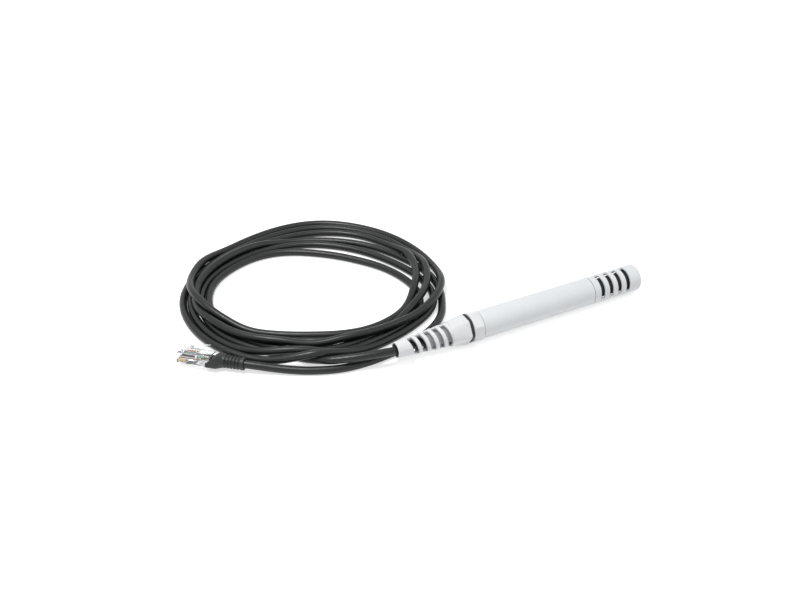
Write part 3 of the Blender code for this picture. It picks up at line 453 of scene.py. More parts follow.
def side_plate(name, side, width):
    """A plate across the plug whose side view is the closed outline of (x, z) points."""
    shape = bmesh.new()
    face = shape.faces.new([shape.verts.new((x, -width / 2, z)) for x, z in side])
    extruded = bmesh.ops.extrude_face_region(shape, geom=[face])["geom"]
    moved = [item for item in extruded if isinstance(item, bmesh.types.BMVert)]
    bmesh.ops.translate(shape, verts=moved, vec=(0, width, 0))
    return finish_mesh(name, shape, smooth=False)


def tube_mesh(name, points, radius, facets):
    """A round tube with closed ends along the points, as a mesh."""
    shape = bmesh.new()
    rings = []
    side = Vector((0, 0, 1))
    for i, point in enumerate(points):
        ahead = points[min(i + 1, len(points) - 1)] - points[max(i - 1, 0)]
        across = ahead.cross(side).normalized()
        up = across.cross(ahead).normalized()
        ring = []
        for step in range(facets):
            angle = math.tau * step / facets
            outward = across * math.cos(angle) + up * math.sin(angle)
            ring.append(shape.verts.new(point + radius * outward))
        rings.append(ring)
    loft(shape, rings)
    return finish_mesh(name, shape)


def loft(shape, rings):
    """Faces between each ring and the next, and over the two ends."""
    for a, b in zip(rings, rings[1:]):
        count = len(a)
        for i in range(count):
            shape.faces.new((a[i], a[(i + 1) % count], b[(i + 1) % count], b[i]))
    shape.faces.new(rings[0])
    shape.faces.new(rings[-1])


# Materials

def new_material(name, colour):
    material = bpy.data.materials.new(name)
    material.use_nodes = True
    tree = material.node_tree
    shader = tree.nodes["Principled BSDF"]
    shader.inputs["Base Color"].default_value = (*colour, 1.0)
    return material, tree, shader


def feed(node, inputs):
    """Sets inputs of a node, by name or number, to values or to the outputs of other nodes."""
    for key, value in inputs.items():
        if isinstance(value, bpy.types.NodeSocket):
            node.id_data.links.new(value, node.inputs[key])
        else:
            node.inputs[key].default_value = value
    return node


def new_node(tree, kind, inputs):
    return feed(tree.nodes.new("ShaderNode" + kind), inputs)


def object_place(tree):
    return new_node(tree, "TexCoord", {}).outputs["Object"]


def noise_node(tree, scale, detail=3.0):
    """Noise over the piece's own place in the row frame. The scale is in features a metre."""
    noise = {"Scale": scale, "Detail": detail, "Vector": object_place(tree)}
    return new_node(tree, "TexNoise", noise).outputs["Fac"]


def spread(tree, value, low, high, source_low=0.3, source_high=0.7):
    """Stretches a value from its own range, which is a noise's if not given, to low and high."""
    ends = {"From Min": source_low, "From Max": source_high, "To Min": low, "To Max": high}
    return new_node(tree, "MapRange", {"Value": value, **ends}).outputs["Result"]


def mix_colours(tree, factor, first, second):
    """A blend of two colours. Each is a colour or the output of another node."""
    mix = tree.nodes.new("ShaderNodeMix")
    mix.data_type = "RGBA"
    first, second = ((*c, 1.0) if isinstance(c, tuple) else c for c in (first, second))
    return feed(mix, {0: factor, 6: first, 7: second}).outputs[2]


def math_node(tree, operation, first, second):
    """The result of an operation on two values, each a number or the output of another node."""
    node = new_node(tree, "Math", {0: first, 1: second})
    node.operation = operation
    return node.outputs[0]


def add_bump(tree, shader, height, distance, edge_radius):
    """A fine surface grain on top of softly broken edges."""
    bump = new_node(tree, "Bump", {"Distance": distance, "Strength": 1.0, "Height": height})
    if edge_radius:
        edges = new_node(tree, "Bevel", {"Radius": edge_radius})
        edges.samples = 6
        feed(bump, {"Normal": edges.outputs["Normal"]})
    feed(shader, {"Normal": bump.outputs["Normal"]})


def moulded_plastic(name, colour, worn, roughness, grain, grain_depth, edge_radius=0.15 * MM):
    """Moulded plastic: a faint cloud in its colour, uneven gloss and a fine grain."""
    material, tree, shader = new_material(name, colour)
    cloud = spread(tree, noise_node(tree, CLOUD_SCALE), 0.0, 1.0)
    specks = spread(tree, noise_node(tree, SPECK_SCALE, 1.0), 0.0, 1.0, 0.62, 0.74)
    tint = mix_colours(tree, cloud, colour, worn)
    darker = tuple(SPECK_SHADE * part for part in worn)
    gloss = spread(tree, noise_node(tree, GLOSS_SCALE), roughness - 0.05, roughness + 0.07)
    feed(shader, {"Base Color": mix_colours(tree, specks, tint, darker), "Roughness": gloss})
    add_bump(tree, shader, noise_node(tree, grain, 4.0), grain_depth, edge_radius)
    return material, tree, shader


def pale_plastic(name, colour, worn, roughness):
    """Light plastic that lets a little light into its surface, with shade painted into its
    crevices.
    """
    material, tree, shader = moulded_plastic(name, colour, worn, roughness, 5200.0, 0.012 * MM)
    paint_crevice_shade(tree, shader)
    depth = {"Subsurface Radius": (1.0, 1.0, 1.0), "Subsurface Scale": 0.6 * MM}
    feed(shader, {"Subsurface Weight": 0.12, **depth})
    return material, tree, shader


def paint_crevice_shade(tree, shader):
    """Paints shade into the crevices between close surfaces: the base colour darkens where ambient
    occlusion finds other surfaces near.
    """
    crevice_shade = new_node(tree, "AmbientOcclusion", {"Distance": CREVICE_REACH})
    crevice_shade.samples = 8
    unshaded_share = spread(tree, crevice_shade.outputs["AO"], 0.15, 1.0, 0.2, 0.8)
    source = shader.inputs["Base Color"].links[0].from_socket
    # Painted shade: crevices take the darker colour in the base colour
    feed(shader, {"Base Color": mix_colours(tree, unshaded_share, PAINTED_CREVICE_SHADE, source)})


def paint_slot_shade(tree, shader):
    """Paints shade on the floors of the tail's slots: greys the base colour with depth below the
    tail's outside, standing in for the shadow in the slots and for the dark bore that shows through
    their thin floors.
    """
    parts = new_node(tree, "SeparateXYZ", {0: object_place(tree)}).outputs
    along = parts["X"]
    outside = spread(tree, along, TAIL_MOUTH_RADIUS, TAIL_ROOT_RADIUS, MOUTH_X, NUT_FRONT_X)
    height = math_node(tree, "SUBTRACT", parts["Z"], AXIS_HEIGHT)
    beside = new_node(tree, "CombineXYZ", {"Y": parts["Y"], "Z": height})
    radius = new_node(tree, "VectorMath", {0: beside.outputs[0]})
    radius.operation = "LENGTH"
    depth = math_node(tree, "SUBTRACT", outside, radius.outputs["Value"])
    slot_shade_share = spread(tree, depth, 0.0, 1.0, *SLOT_SHADE_DEPTHS)
    in_tail = spread(tree, along, 1.0, 0.0, NUT_FRONT_X - SEAT_GAP, NUT_FRONT_X)
    share = math_node(tree, "MULTIPLY", slot_shade_share, in_tail)
    source = shader.inputs["Base Color"].links[0].from_socket
    # Painted shade: the slot floors' base colour greys with depth
    feed(shader, {"Base Color": mix_colours(tree, share, source, PAINTED_SLOT_SHADE)})


def jacket_material():
    """Extruded black jacket: satin, with fine scuffs and slow waves in its gloss."""
    colour, worn = (0.004, 0.0046, 0.0050), (0.009, 0.0103, 0.0107)
    material, _, shader = moulded_plastic(
        "cord_jacket", colour, worn, 0.35, 3200.0, 0.02 * MM, edge_radius=0.0
    )
    feed(shader, {"Specular IOR Level": 0.42})
    return material


def clear_material():
    """Clear moulded polycarbonate with flow marks."""
    material, tree, shader = new_material("clear_plastic", (0.93, 0.95, 0.96))
    marks = noise_node(tree, 900.0, 2.0)
    tint = mix_colours(tree, marks, (0.90, 0.93, 0.94), (0.97, 0.98, 0.98))
    feed(shader, {"Base Color": tint, "Roughness": spread(tree, marks, 0.02, 0.10)})
    feed(shader, {"Transmission Weight": 1.0, "IOR": 1.49})
    add_bump(tree, shader, noise_node(tree, 700.0, 2.0), 0.03 * MM, 0.1 * MM)
    return material


def gold_material():
    """Plated contact metal, rubbed unevenly, and darker where it is rougher."""
    material, tree, shader = new_material("contact_gold", (0.86, 0.62, 0.28))
    rub = noise_node(tree, 2400.0)
    tint = mix_colours(tree, rub, (0.62, 0.43, 0.17), (0.42, 0.29, 0.13))
    gloss = spread(tree, rub, 0.18, 0.38)
    feed(shader, {"Base Color": tint, "Metallic": 1.0, "Roughness": gloss})
    add_bump(tree, shader, rub, 0.01 * MM, 0.05 * MM)
    return material


def core_material(name, colour, stripe=None):
    """Extruded core insulation, with a printed stripe on the white ones."""
    material, tree, shader = new_material(name, colour)
    gloss = noise_node(tree, 1500.0)
    body = mix_colours(tree, noise_node(tree, 600.0), colour, tuple(0.85 * part for part in colour))
    if stripe:
        wave = new_node(tree, "TexWave", {"Scale": 160.0, "Vector": object_place(tree)})
        band = spread(tree, wave.outputs["Fac"], 0.0, 1.0, 0.70, 0.78)
        body = mix_colours(tree, band, body, stripe)
    feed(shader, {"Base Color": body, "Roughness": spread(tree, gloss, 0.35, 0.5)})
    add_bump(tree, shader, gloss, 0.008 * MM, 0.0)
    return material


def screen_material():
    """Dark woven mesh: fine squares in two dark greys."""
    material, tree, shader = new_material("screen_mesh", (0.012, 0.012, 0.013))
    weave = new_node(tree, "TexChecker", {"Scale": 2200.0, "Vector": object_place(tree)})
    wires = weave.outputs["Fac"]
    tint = mix_colours(tree, wires, (0.008, 0.008, 0.009), (0.035, 0.036, 0.038))
    feed(shader, {"Base Color": tint, "Roughness": 0.8})
    add_bump(tree, shader, wires, 0.05 * MM, 0.0)
    return material


def make_materials():
    pale = (0.77, 0.80, 0.825)
    worn = (0.80, 0.82, 0.835)
    plain = {
        "rubber": ((0.016, 0.016, 0.018), (0.028, 0.028, 0.030), 0.65, 2600.0, 0.02 * MM),
        "board": ((0.02, 0.16, 0.05), (0.03, 0.21, 0.08), 0.40, 900.0, 0.02 * MM),
        "chip": ((0.015, 0.015, 0.016), (0.03, 0.03, 0.03), 0.5, 4000.0, 0.01 * MM),
        "ceramic": ((0.42, 0.30, 0.18), (0.50, 0.37, 0.24), 0.4, 2000.0, 0.01 * MM),
        "header": ((0.80, 0.77, 0.68), (0.86, 0.83, 0.75), 0.5, 2000.0, 0.01 * MM),
        "boot": ((0.006, 0.0065, 0.007), (0.012, 0.013, 0.014), 0.45, 2200.0, 0.035 * MM),
    }
    materials = {
        slot: moulded_plastic(slot + "_surface", *values)[0] for slot, values in plain.items()
    }
    materials["housing"] = pale_plastic("housing_plastic", pale, worn, 0.42)[0]
    gland = (0.78, 0.80, 0.82), (0.83, 0.84, 0.85), 0.34
    materials["gland"] = pale_plastic("gland_plastic", *gland)[0]
    materials["tail"], tree, shader = pale_plastic("tail_plastic", *gland)
    # Painted shade on the floors of the tail's slots
    paint_slot_shade(tree, shader)
    materials["cord"] = jacket_material()
    materials["clear"] = clear_material()
    materials["gold"] = gold_material()
    materials["screen"] = screen_material()
    white = (0.80, 0.79, 0.76)
    for slot, (colour, striped) in CORE_COLOURS.items():
        if striped:
            materials[slot] = core_material(slot, white, colour)
        else:
            materials[slot] = core_material(slot, colour)
    return materials


def dress_inner_nodes(materials):
    """The nodes that stay as they are keep their shape and take the finer materials."""
    for node, slot in INNER_NODES.items():
        data = bpy.data.objects[node].data
        data.materials.clear()
        data.materials.append(materials[slot])


# Probe tube, cap and screen

def build_probe_tube(materials, axis):
    """The tube, its ends broken by small rounds, with the spigot that the cap slides over."""
    start = COLLAR_REAR_X + SEAT_GAP
    spigot_end = CAP_JOINT_X + SPIGOT_LENGTH
    spigot_radius = CAP_BORE_RADIUS - SEAT_GAP
    edge = TUBE_EDGE_ROUND
    outline = [
        (start, HOUSING_RADIUS - edge),
        *round_corner(start + edge, HOUSING_RADIUS - edge, edge, 180, 90)[1:],
        *round_corner(CAP_JOINT_X - edge, HOUSING_RADIUS - edge, edge, 90, 0),
        (CAP_JOINT_X, spigot_radius), (spigot_end, spigot_radius),
        (spigot_end, TUBE_BORE_RADIUS), (start, TUBE_BORE_RADIUS),
    ]
    place(turned("probe_tube_detail", outline), axis, materials["housing"], "housing", "probe_tube")


def build_vent_cap(materials, axis):
    """The closed cap with four rows of two opposed saw cuts and broken edges."""
    start = CAP_JOINT_X + SEAT_GAP
    inner_end = CAP_END_X - CAP_END_WALL
    small = TUBE_EDGE_ROUND
    edge = round_corner(
        CAP_END_X - CAP_EDGE_ROUND, HOUSING_RADIUS - CAP_EDGE_ROUND, CAP_EDGE_ROUND, 90, 0
    )
    first = round_corner(start + small, HOUSING_RADIUS - small, small, 180, 90)
    outline = [*first, *edge, (CAP_END_X, 0.0), (inner_end, 0.0)]
    outline += [(inner_end, CAP_BORE_RADIUS), (start, CAP_BORE_RADIUS)]
    cap = turned("vent_cap_detail", outline)

    shape = bmesh.new()
    chord = HOUSING_RADIUS * SLOT_CHORD_SHARE
    for row in range(SLOT_COUNT):
        x = CAP_JOINT_X + FIRST_SLOT_FROM_JOINT + row * SLOT_PITCH
        for side in (0, math.pi):
            turn = Matrix.Rotation(SLOT_TURN + side, 4, "X")
            size = (SLOT_WIDTH, 2 * HOUSING_RADIUS, HOUSING_RADIUS)
            box(shape, size, (x, 0, chord + HOUSING_RADIUS / 2), turn)
    cutter = finish_mesh("vent_slots", shape, smooth=False)
    combine(cap, cutter, "DIFFERENCE")
    settle(cap, cutter, edge=SLOT_EDGE_ROUND)
    place(cap, axis, materials["housing"], "housing", "vent_cap")


def build_vent_screen(materials, axis):
    outer = TUBE_BORE_RADIUS - SEAT_GAP
    start = CAP_JOINT_X + SPIGOT_LENGTH - SCREEN_SOCKET
    end = CAP_END_X - CAP_END_WALL - SEAT_GAP
    inner = outer - SCREEN_WALL
    outline = [(start, outer), (end, outer), (end, inner), (start, inner)]
    place(turned("vent_screen_detail", outline), axis, materials["screen"], "screen", "vent_screen")


# Cable gland

def build_gland_body(materials, axis):
    """Hexagonal collar with its spigot and its bored nose."""
    spigot_end = COLLAR_REAR_X + GLAND_SPIGOT_LENGTH
    spigot_radius = TUBE_BORE_RADIUS - SEAT_GAP
    nose_end = COLLAR_FRONT_X - NOSE_LENGTH
    nose_bore_end = nose_end + NOSE_BORE_DEPTH
    outline = [
        (nose_end, NOSE_RADIUS), (COLLAR_FRONT_X, NOSE_RADIUS),
        (COLLAR_FRONT_X, COLLAR_CORE_RADIUS), (COLLAR_REAR_X, COLLAR_CORE_RADIUS),
        (COLLAR_REAR_X, spigot_radius), (spigot_end, spigot_radius),
        (spigot_end, GLAND_SPIGOT_BORE_RADIUS), (COLLAR_REAR_X, GLAND_SPIGOT_BORE_RADIUS),
        (COLLAR_REAR_X, CORD_HOLE_RADIUS), (nose_bore_end, CORD_HOLE_RADIUS),
        (nose_bore_end, NOSE_BORE_RADIUS), (nose_end, NOSE_BORE_RADIUS),
    ]
    body = turned("gland_body_detail", outline)
    inner = (COLLAR_CORE_RADIUS + NOSE_RADIUS) / 2
    chamfered = COLLAR_CORNER_RADIUS - COLLAR_CHAMFER
    envelope = [
        (COLLAR_FRONT_X, inner), (COLLAR_FRONT_X, chamfered),
        (COLLAR_FRONT_X + COLLAR_CHAMFER, COLLAR_CORNER_RADIUS),
        (COLLAR_REAR_X - COLLAR_CHAMFER, COLLAR_CORNER_RADIUS), (COLLAR_REAR_X, chamfered),
        (COLLAR_REAR_X, inner),
    ]
    past = COLLAR_CHAMFER
    start, end = COLLAR_FRONT_X - past, COLLAR_REAR_X + past
    ring = hexagon_ring("collar_ring", COLLAR_ACROSS_FLATS, start, end, envelope, COLLAR_TURN)
    combine(body, ring, "UNION")
    settle(body, ring, edge=COLLAR_EDGE_ROUND)
    place(body, axis, materials["gland"], "gland", "gland_body")


def build_seal_washer(materials, axis):
    start = NUT_REAR_X + SEAT_GAP
    end = COLLAR_FRONT_X - SEAT_GAP
    inner = NOSE_RADIUS + SEAT_GAP
    radius = WASHER_CORNER_RADIUS
    outline = [(start, radius), (end, radius), (end, inner), (start, inner)]
    first, last = start - SEAT_GAP, end + SEAT_GAP
    washer = hexagon_ring("seal_washer_detail", WASHER_ACROSS_FLATS, first, last, outline, NUT_TURN)
    settle(washer, edge=SLOT_EDGE_ROUND / 2)
    place(washer, axis, materials["rubber"], "rubber", "seal_washer")


def tail_radius(x):
    share = (x - MOUTH_X) / TAIL_LENGTH
    return TAIL_MOUTH_RADIUS + (TAIL_ROOT_RADIUS - TAIL_MOUTH_RADIUS) * share


def relief_slot(shape, x, side):
    """One slot round half the tail: a rectangle swept along a short helix.

    The side is the angle of the slot's middle, and zero faces -Y.
    """
    rings = []
    for step in range(RELIEF_SLOT_STEPS + 1):
        share = 2 * step / RELIEF_SLOT_STEPS - 1
        angle = side + share * RELIEF_SLOT_HALF_ANGLE
        centre = x - RELIEF_SLOT_LEAD * share * RELIEF_SLOT_HALF_ANGLE / math.tau
        inner = tail_radius(centre) - RELIEF_SLOT_DEPTH
        outer = TAIL_ROOT_RADIUS + RELIEF_SLOT_DEPTH
        half = RELIEF_SLOT_WIDTH / 2
        corners = [(centre - half, inner), (centre + half, inner)]
        corners += [(centre + half, outer), (centre - half, outer)]
        cos, sin = math.cos(angle), math.sin(angle)
        rings.append([shape.verts.new((cx, -r * cos, r * sin)) for cx, r in corners])
    loft(shape, rings)


def build_cap_nut(materials, axis):
    """Cap nut and flexing tail in one moulding, with the slots' edges rounded."""
    bore_taper_x = MOUTH_X + TAIL_WIDE_BORE_LENGTH
    narrow_x = bore_taper_x + TAIL_BORE_TAPER
    cavity_radius = NOSE_RADIUS + SEAT_GAP
    cavity_end = COLLAR_FRONT_X - NOSE_LENGTH - GROMMET_REACH + SEAT_GAP
    cone_end = cavity_end - NUT_CAVITY_CONE
    lip = round_corner(
        MOUTH_X + TAIL_MOUTH_ROUND, TAIL_MOUTH_RADIUS - TAIL_MOUTH_ROUND, TAIL_MOUTH_ROUND, 180, 90
    )
    core = (NUT_FRONT_RADIUS + NOSE_RADIUS) / 2 + SEAT_GAP
    outline = [
        (MOUTH_X, TAIL_MOUTH_BORE_RADIUS),
        *lip,
        (NUT_FRONT_X, TAIL_ROOT_RADIUS), (NUT_FRONT_X + NUT_CHAMFER, TAIL_ROOT_RADIUS),
        (NUT_FRONT_X + NUT_CHAMFER, core), (NUT_REAR_X, core), (NUT_REAR_X, cavity_radius),
        (cavity_end, cavity_radius), (cone_end, TAIL_BORE_RADIUS), (narrow_x, TAIL_BORE_RADIUS),
        (bore_taper_x, TAIL_MOUTH_BORE_RADIUS),
    ]
    nut = turned("cap_nut_detail", outline)

    slots = bmesh.new()
    for number in range(RELIEF_SLOT_COUNT):
        x = MOUTH_X + FIRST_RELIEF_SLOT + number * RELIEF_SLOT_PITCH
        relief_slot(slots, x, RELIEF_SLOT_CENTRE)
        if number < RELIEF_SLOT_COUNT - 1:
            relief_slot(slots, x + RELIEF_SLOT_PITCH / 2, RELIEF_SLOT_CENTRE + math.pi)
    cutter = finish_mesh("relief_slots", slots, smooth=False)
    cut(nut, cutter)

    inner = (core + cavity_radius) / 2
    envelope = [
        (NUT_FRONT_X, inner), (NUT_FRONT_X, NUT_FRONT_RADIUS),
        (NUT_FRONT_X + NUT_CONE_LENGTH, NUT_CORNER_RADIUS),
        (NUT_REAR_X - NUT_CHAMFER, NUT_CORNER_RADIUS),
        (NUT_REAR_X, NUT_CORNER_RADIUS - NUT_CHAMFER), (NUT_REAR_X, inner),
    ]
    start, end = NUT_FRONT_X - NUT_CHAMFER, NUT_REAR_X + NUT_CHAMFER
    ring = hexagon_ring("nut_ring", NUT_ACROSS_FLATS, start, end, envelope, NUT_TURN)
    combine(nut, ring, "UNION")
    settle(nut, ring, edge=RELIEF_EDGE_ROUND)
    place(nut, axis, materials["tail"], "gland", "cap_nut")


# Plug and boot

def contact_places():
    middle = (CONTACT_COUNT - 1) / 2
    return [(number - middle) * CONTACT_PITCH for number in range(CONTACT_COUNT)]


def latch_side(length):
    """Side view of the latch: it bends away from the nose and then rises straight."""
    top = PLUG_HEIGHT / 2
    rise = LATCH_RISE / LATCH_LENGTH * length
    under, over = [], []
    for step in range(LATCH_STEPS + 1):
        share = step / LATCH_STEPS
        x = -LATCH_ROOT - length * share
        lift = rise * share + LATCH_BOW * math.sin(math.pi * share) * length / LATCH_LENGTH
        over.append((x, top + LATCH_THICKNESS + lift))
        if share > LATCH_ROOT_SHARE:
            under.append((x, top + LATCH_THICKNESS / 2 + lift))
    root = [(-LATCH_ROOT - 2 * LATCH_THICKNESS, top - LATCH_THICKNESS / 2)]
    root += [(-LATCH_ROOT, top - LATCH_THICKNESS / 2)]
    return over + under[::-1] + root


def build_plug_shell(materials, plug):
    """Clear shell with its latch, contact slots, wire tunnel, cavity and crimp window."""
    shape = bmesh.new()
    box(shape, (PLUG_LENGTH, PLUG_WIDTH, PLUG_HEIGHT), (-PLUG_LENGTH / 2, 0, 0))
    bmesh.ops.bevel(
        shape, geom=shape.edges[:], offset=PLUG_EDGE, segments=ROUND_SEGMENTS, affect="EDGES",
        profile=0.5,
    )
    shell = finish_mesh("plug_shell_detail", shape)
    base = side_plate("latch_base", latch_side(LATCH_BASE_LENGTH), LATCH_BASE_WIDTH)
    lever = side_plate("latch_lever", latch_side(LATCH_LENGTH), LATCH_WIDTH)
    for bar in (base, lever):
        combine(shell, bar, "UNION")
    settle(shell, base, lever)

    cavity = bmesh.new()
    depth = PLUG_CAVITY_DEPTH + PLUG_EDGE
    size = (depth, PLUG_CAVITY_WIDTH, PLUG_CAVITY_HEIGHT)
    box(cavity, size, (-PLUG_LENGTH + PLUG_CAVITY_DEPTH - depth / 2, 0, 0))
    window_x = -CRIMP_WINDOW_FROM_NOSE - CRIMP_WINDOW[0] / 2
    window_size = (*CRIMP_WINDOW[:2], 2 * CRIMP_WINDOW[2])
    box(cavity, window_size, (window_x, 0, -PLUG_HEIGHT / 2))
    tunnel = bmesh.new()
    tunnel_length = PLUG_LENGTH - PLUG_CAVITY_DEPTH - TUNNEL_FROM_NOSE + PLUG_EDGE
    tunnel_x = -TUNNEL_FROM_NOSE - tunnel_length / 2
    box(tunnel, (tunnel_length, TUNNEL_WIDTH, TUNNEL_HEIGHT), (tunnel_x, 0, 0))
    slots = bmesh.new()
    slot_height = PLUG_HEIGHT / 2
    slot_x = -CONTACT_FROM_NOSE - CONTACT_LENGTH / 2
    slot_size = (CONTACT_LENGTH + 2 * SEAT_GAP, CONTACT_THICKNESS + 2 * FINE_GAP, slot_height)
    for y in contact_places():
        box(slots, slot_size, (slot_x, y, -PLUG_EDGE - slot_height / 2))
    cuts = {"plug_cavity": cavity, "wire_tunnel": tunnel, "contact_slots": slots}
    cut(shell, *[finish_mesh(name, mesh, smooth=False) for name, mesh in cuts.items()])
    place(shell, plug, materials["clear"], "clear", "plug_shell")


def build_contacts(materials, plug):
    """Gold blades with rounded ends, each pressed on to its conductor."""
    top = -CONDUCTOR_DIAMETER / 2 - FINE_GAP
    bottom = -PLUG_HEIGHT / 2 + CONTACT_RECESS
    for number, y in enumerate(contact_places(), 1):
        front, back = -CONTACT_FROM_NOSE, -CONTACT_FROM_NOSE - CONTACT_LENGTH
        round_size = CONTACT_END_ROUND
        side = [(front, top), (back, top)]
        for x, start in ((back + round_size, 180), (front - round_size, 270)):
            side += round_corner(x, bottom + round_size, round_size, start, start + 90)
        blade = side_plate(f"contact_blade_{number}", side, CONTACT_THICKNESS)
        blade.data.transform(Matrix.Translation((0, y, 0)))
        place(blade, plug, materials["gold"], "gold", f"contact_{number}")


def build_conductors(materials, plug):
    """Eight cores in a flat row, gathered in two layers where they leave the jacket."""
    front = -TUNNEL_FROM_NOSE - SEAT_GAP
    jacket = CORD_IN_PLUG - PLUG_LENGTH + SEAT_GAP
    row_end = jacket + CONDUCTOR_FAN_LENGTH
    for number, (y, slot) in enumerate(zip(contact_places(), CORE_COLOURS)):
        layer = CONDUCTOR_LAYER_HEIGHT if number % 2 else -CONDUCTOR_LAYER_HEIGHT
        bunched = Vector((jacket, CONDUCTOR_BUNCH_SHARE * y, layer))
        along = Vector((CONDUCTOR_STRAIGHT, 0, 0))
        route = [bunched, bunched + along, Vector((row_end, y, 0)), Vector((front, y, 0))]
        points = smooth_points(route[:3], CONDUCTOR_DIAMETER / 2) + [route[3]]
        core = tube_mesh(f"core_{number + 1}", points, CONDUCTOR_DIAMETER / 2, CORE_FACETS)
        place(core, plug, materials[slot], slot, f"conductor_{number + 1}")


def rounded_section(shape, x, half_width, half_height, corner):
    """One ring of vertices: a rectangle with round corners, across the plug's axis."""
    ring = []
    corners = ((1, 1, 0), (-1, 1, 90), (-1, -1, 180), (1, -1, 270))
    for side_y, side_z, start in corners:
        for step in range(BOOT_CORNER_STEPS):
            angle = math.radians(start + 90 * step / (BOOT_CORNER_STEPS - 1))
            y = side_y * (half_width - corner) + corner * math.cos(angle)
            z = side_z * (half_height - corner) + corner * math.sin(angle)
            ring.append(shape.verts.new((x, y, z)))
    return ring


def neck_outline(neck_start):
    """(x, radius) points of the ribs and the plain end ring, with rounded crests."""
    end = -BOOT_END_FROM_NOSE
    length = BOOT_RIB_COUNT * BOOT_RIB_PITCH
    first = end + BOOT_END_RING + length
    points = [(neck_start, BOOT_NECK_RADIUS)]
    count = BOOT_RIB_COUNT * BOOT_RIB_STEPS
    for step in range(count + 1):
        share = step / count
        outer = BOOT_NECK_RADIUS + (BOOT_TAIL_RADIUS - BOOT_NECK_RADIUS) * share
        wave = 0.5 - 0.5 * math.cos(math.tau * share * BOOT_RIB_COUNT)
        groove = BOOT_GROOVE_DEPTH * min(1.0, BOOT_FLANK_SLOPE * max(0.0, wave - BOOT_CREST_SHARE))
        points.append((first - length * share, outer - groove))
    edge = BOOT_END_ROUND
    lip = round_corner(end + edge, BOOT_TAIL_RADIUS - edge, edge, 90, 180)
    return points + lip


def build_boot(materials, plug):
    """Moulded boot: a hood open at its top, a taper and a ribbed neck."""
    front = BOOT_LENGTH - BOOT_END_FROM_NOSE
    hood_end = front - BOOT_HOOD_LENGTH + BOOT_TAPER_LENGTH
    neck_start = front - BOOT_HOOD_LENGTH
    half_width = PLUG_WIDTH / 2 + SEAT_GAP + BOOT_WALL
    half_height = PLUG_HEIGHT / 2 + SEAT_GAP + BOOT_WALL
    corner = BOOT_CORNER_RADIUS
    shape = bmesh.new()
    rings = [
        rounded_section(shape, front, half_width, half_height, corner),
        rounded_section(shape, hood_end, half_width, half_height, corner),
    ]
    for step in range(1, BOOT_TAPER_STEPS):
        share = step / BOOT_TAPER_STEPS
        ease = share * share * (3 - 2 * share)
        x = hood_end + (neck_start - hood_end) * share
        width = half_width + (BOOT_NECK_RADIUS - half_width) * ease
        height = half_height + (BOOT_NECK_RADIUS - half_height) * ease
        blend = corner + (BOOT_NECK_RADIUS - corner) * ease
        radius = min(blend, width - LOFT_ROUND, height - LOFT_ROUND)
        rings.append(rounded_section(shape, x, width, height, radius))
    for x, radius in neck_outline(neck_start):
        rings.append(rounded_section(shape, x, radius, radius, radius - LOFT_ROUND))
    loft(shape, rings)
    boot = finish_mesh("plug_boot_detail", shape)

    pocket = bmesh.new()
    depth = front + PLUG_LENGTH + SEAT_GAP + corner
    size = (depth, PLUG_WIDTH + 2 * SEAT_GAP, PLUG_HEIGHT + 2 * SEAT_GAP)
    box(pocket, size, (front + corner - depth / 2, 0, 0))
    above = half_height + corner
    mouth = [
        (front + corner, BOOT_JAW_TOP), (front, BOOT_JAW_TOP),
        (front - BOOT_MOUTH_SLOPE, half_height), (front - BOOT_MOUTH_SLOPE, above),
        (front + corner, above),
    ]
    hole_radius = CORD_RADIUS + SEAT_GAP
    hole_start = -BOOT_END_FROM_NOSE - corner
    outline = [
        (hole_start, hole_radius), (-PLUG_LENGTH, hole_radius), (-PLUG_LENGTH, 0),
        (hole_start, 0),
    ]
    cut(
        boot,
        finish_mesh("boot_pocket", pocket, smooth=False),
        side_plate("boot_mouth", mouth, 2 * half_width + corner),
        turned("boot_hole", outline),
    )
    place(boot, plug, materials["boot"], "boot", "plug_boot")


# Cord: the coil

def polar_of(point):
    """(angle in radians, radius) of a row point about the coil's centre, in millimetres."""
    dx, dy = point[0] - COIL_CENTRE[0], point[1] - COIL_CENTRE[1]
    angle = math.atan2(-dx, -dy) - COIL_FRONT_ANGLE
    return angle % math.tau, math.hypot(dx, dy)


def coil_start():
    """(angle in degrees before the front, radius, height) where the gland run ends."""
    angle, radius = polar_of(GLAND_RUN_ROUTE[-1])
    return math.degrees(angle) - 360, radius, GLAND_RUN_ROUTE[-1][2]


def coil_end():
    angle, radius = polar_of(PLUG_RUN_ROUTE[0])
    return math.degrees(angle) + 360 * (len(COIL_TURNS) - 1), radius, PLUG_RUN_ROUTE[0][2]


def coil_guess():
    """Angles, radii and heights along the coil, from the table of its turns."""
    knots = [coil_start()]
    for number, turn in enumerate(COIL_TURNS):
        knots += [(360 * number + angle, radius, height) for angle, radius, height in turn]
    knots.append(coil_end())
    knots = np.array(knots)
    step = COIL_STEP_DEGREES
    first = math.ceil((knots[0, 0] + 1) / step) * step
    angles = np.arange(first, knots[-1, 0] - 1, step)
    return angles, smooth_table(angles, knots, 1), smooth_table(angles, knots, 2)


def smooth_table(angles, knots, column):
    """A smooth curve through the knots: a cubic with a slope taken from each two neighbours."""
    at, values = knots[:, 0], knots[:, column]
    slopes = np.gradient(values, at)
    span = np.clip(np.searchsorted(at, angles) - 1, 0, len(at) - 2)
    width = at[span + 1] - at[span]
    t = (angles - at[span]) / width
    low, high = values[span], values[span + 1]
    low_slope, high_slope = slopes[span] * width, slopes[span + 1] * width
    return (
        (2 * t**3 - 3 * t**2 + 1) * low
        + (t**3 - 2 * t**2 + t) * low_slope
        + (3 * t**2 - 2 * t**3) * high
        + (t**3 - t**2) * high_slope
    )


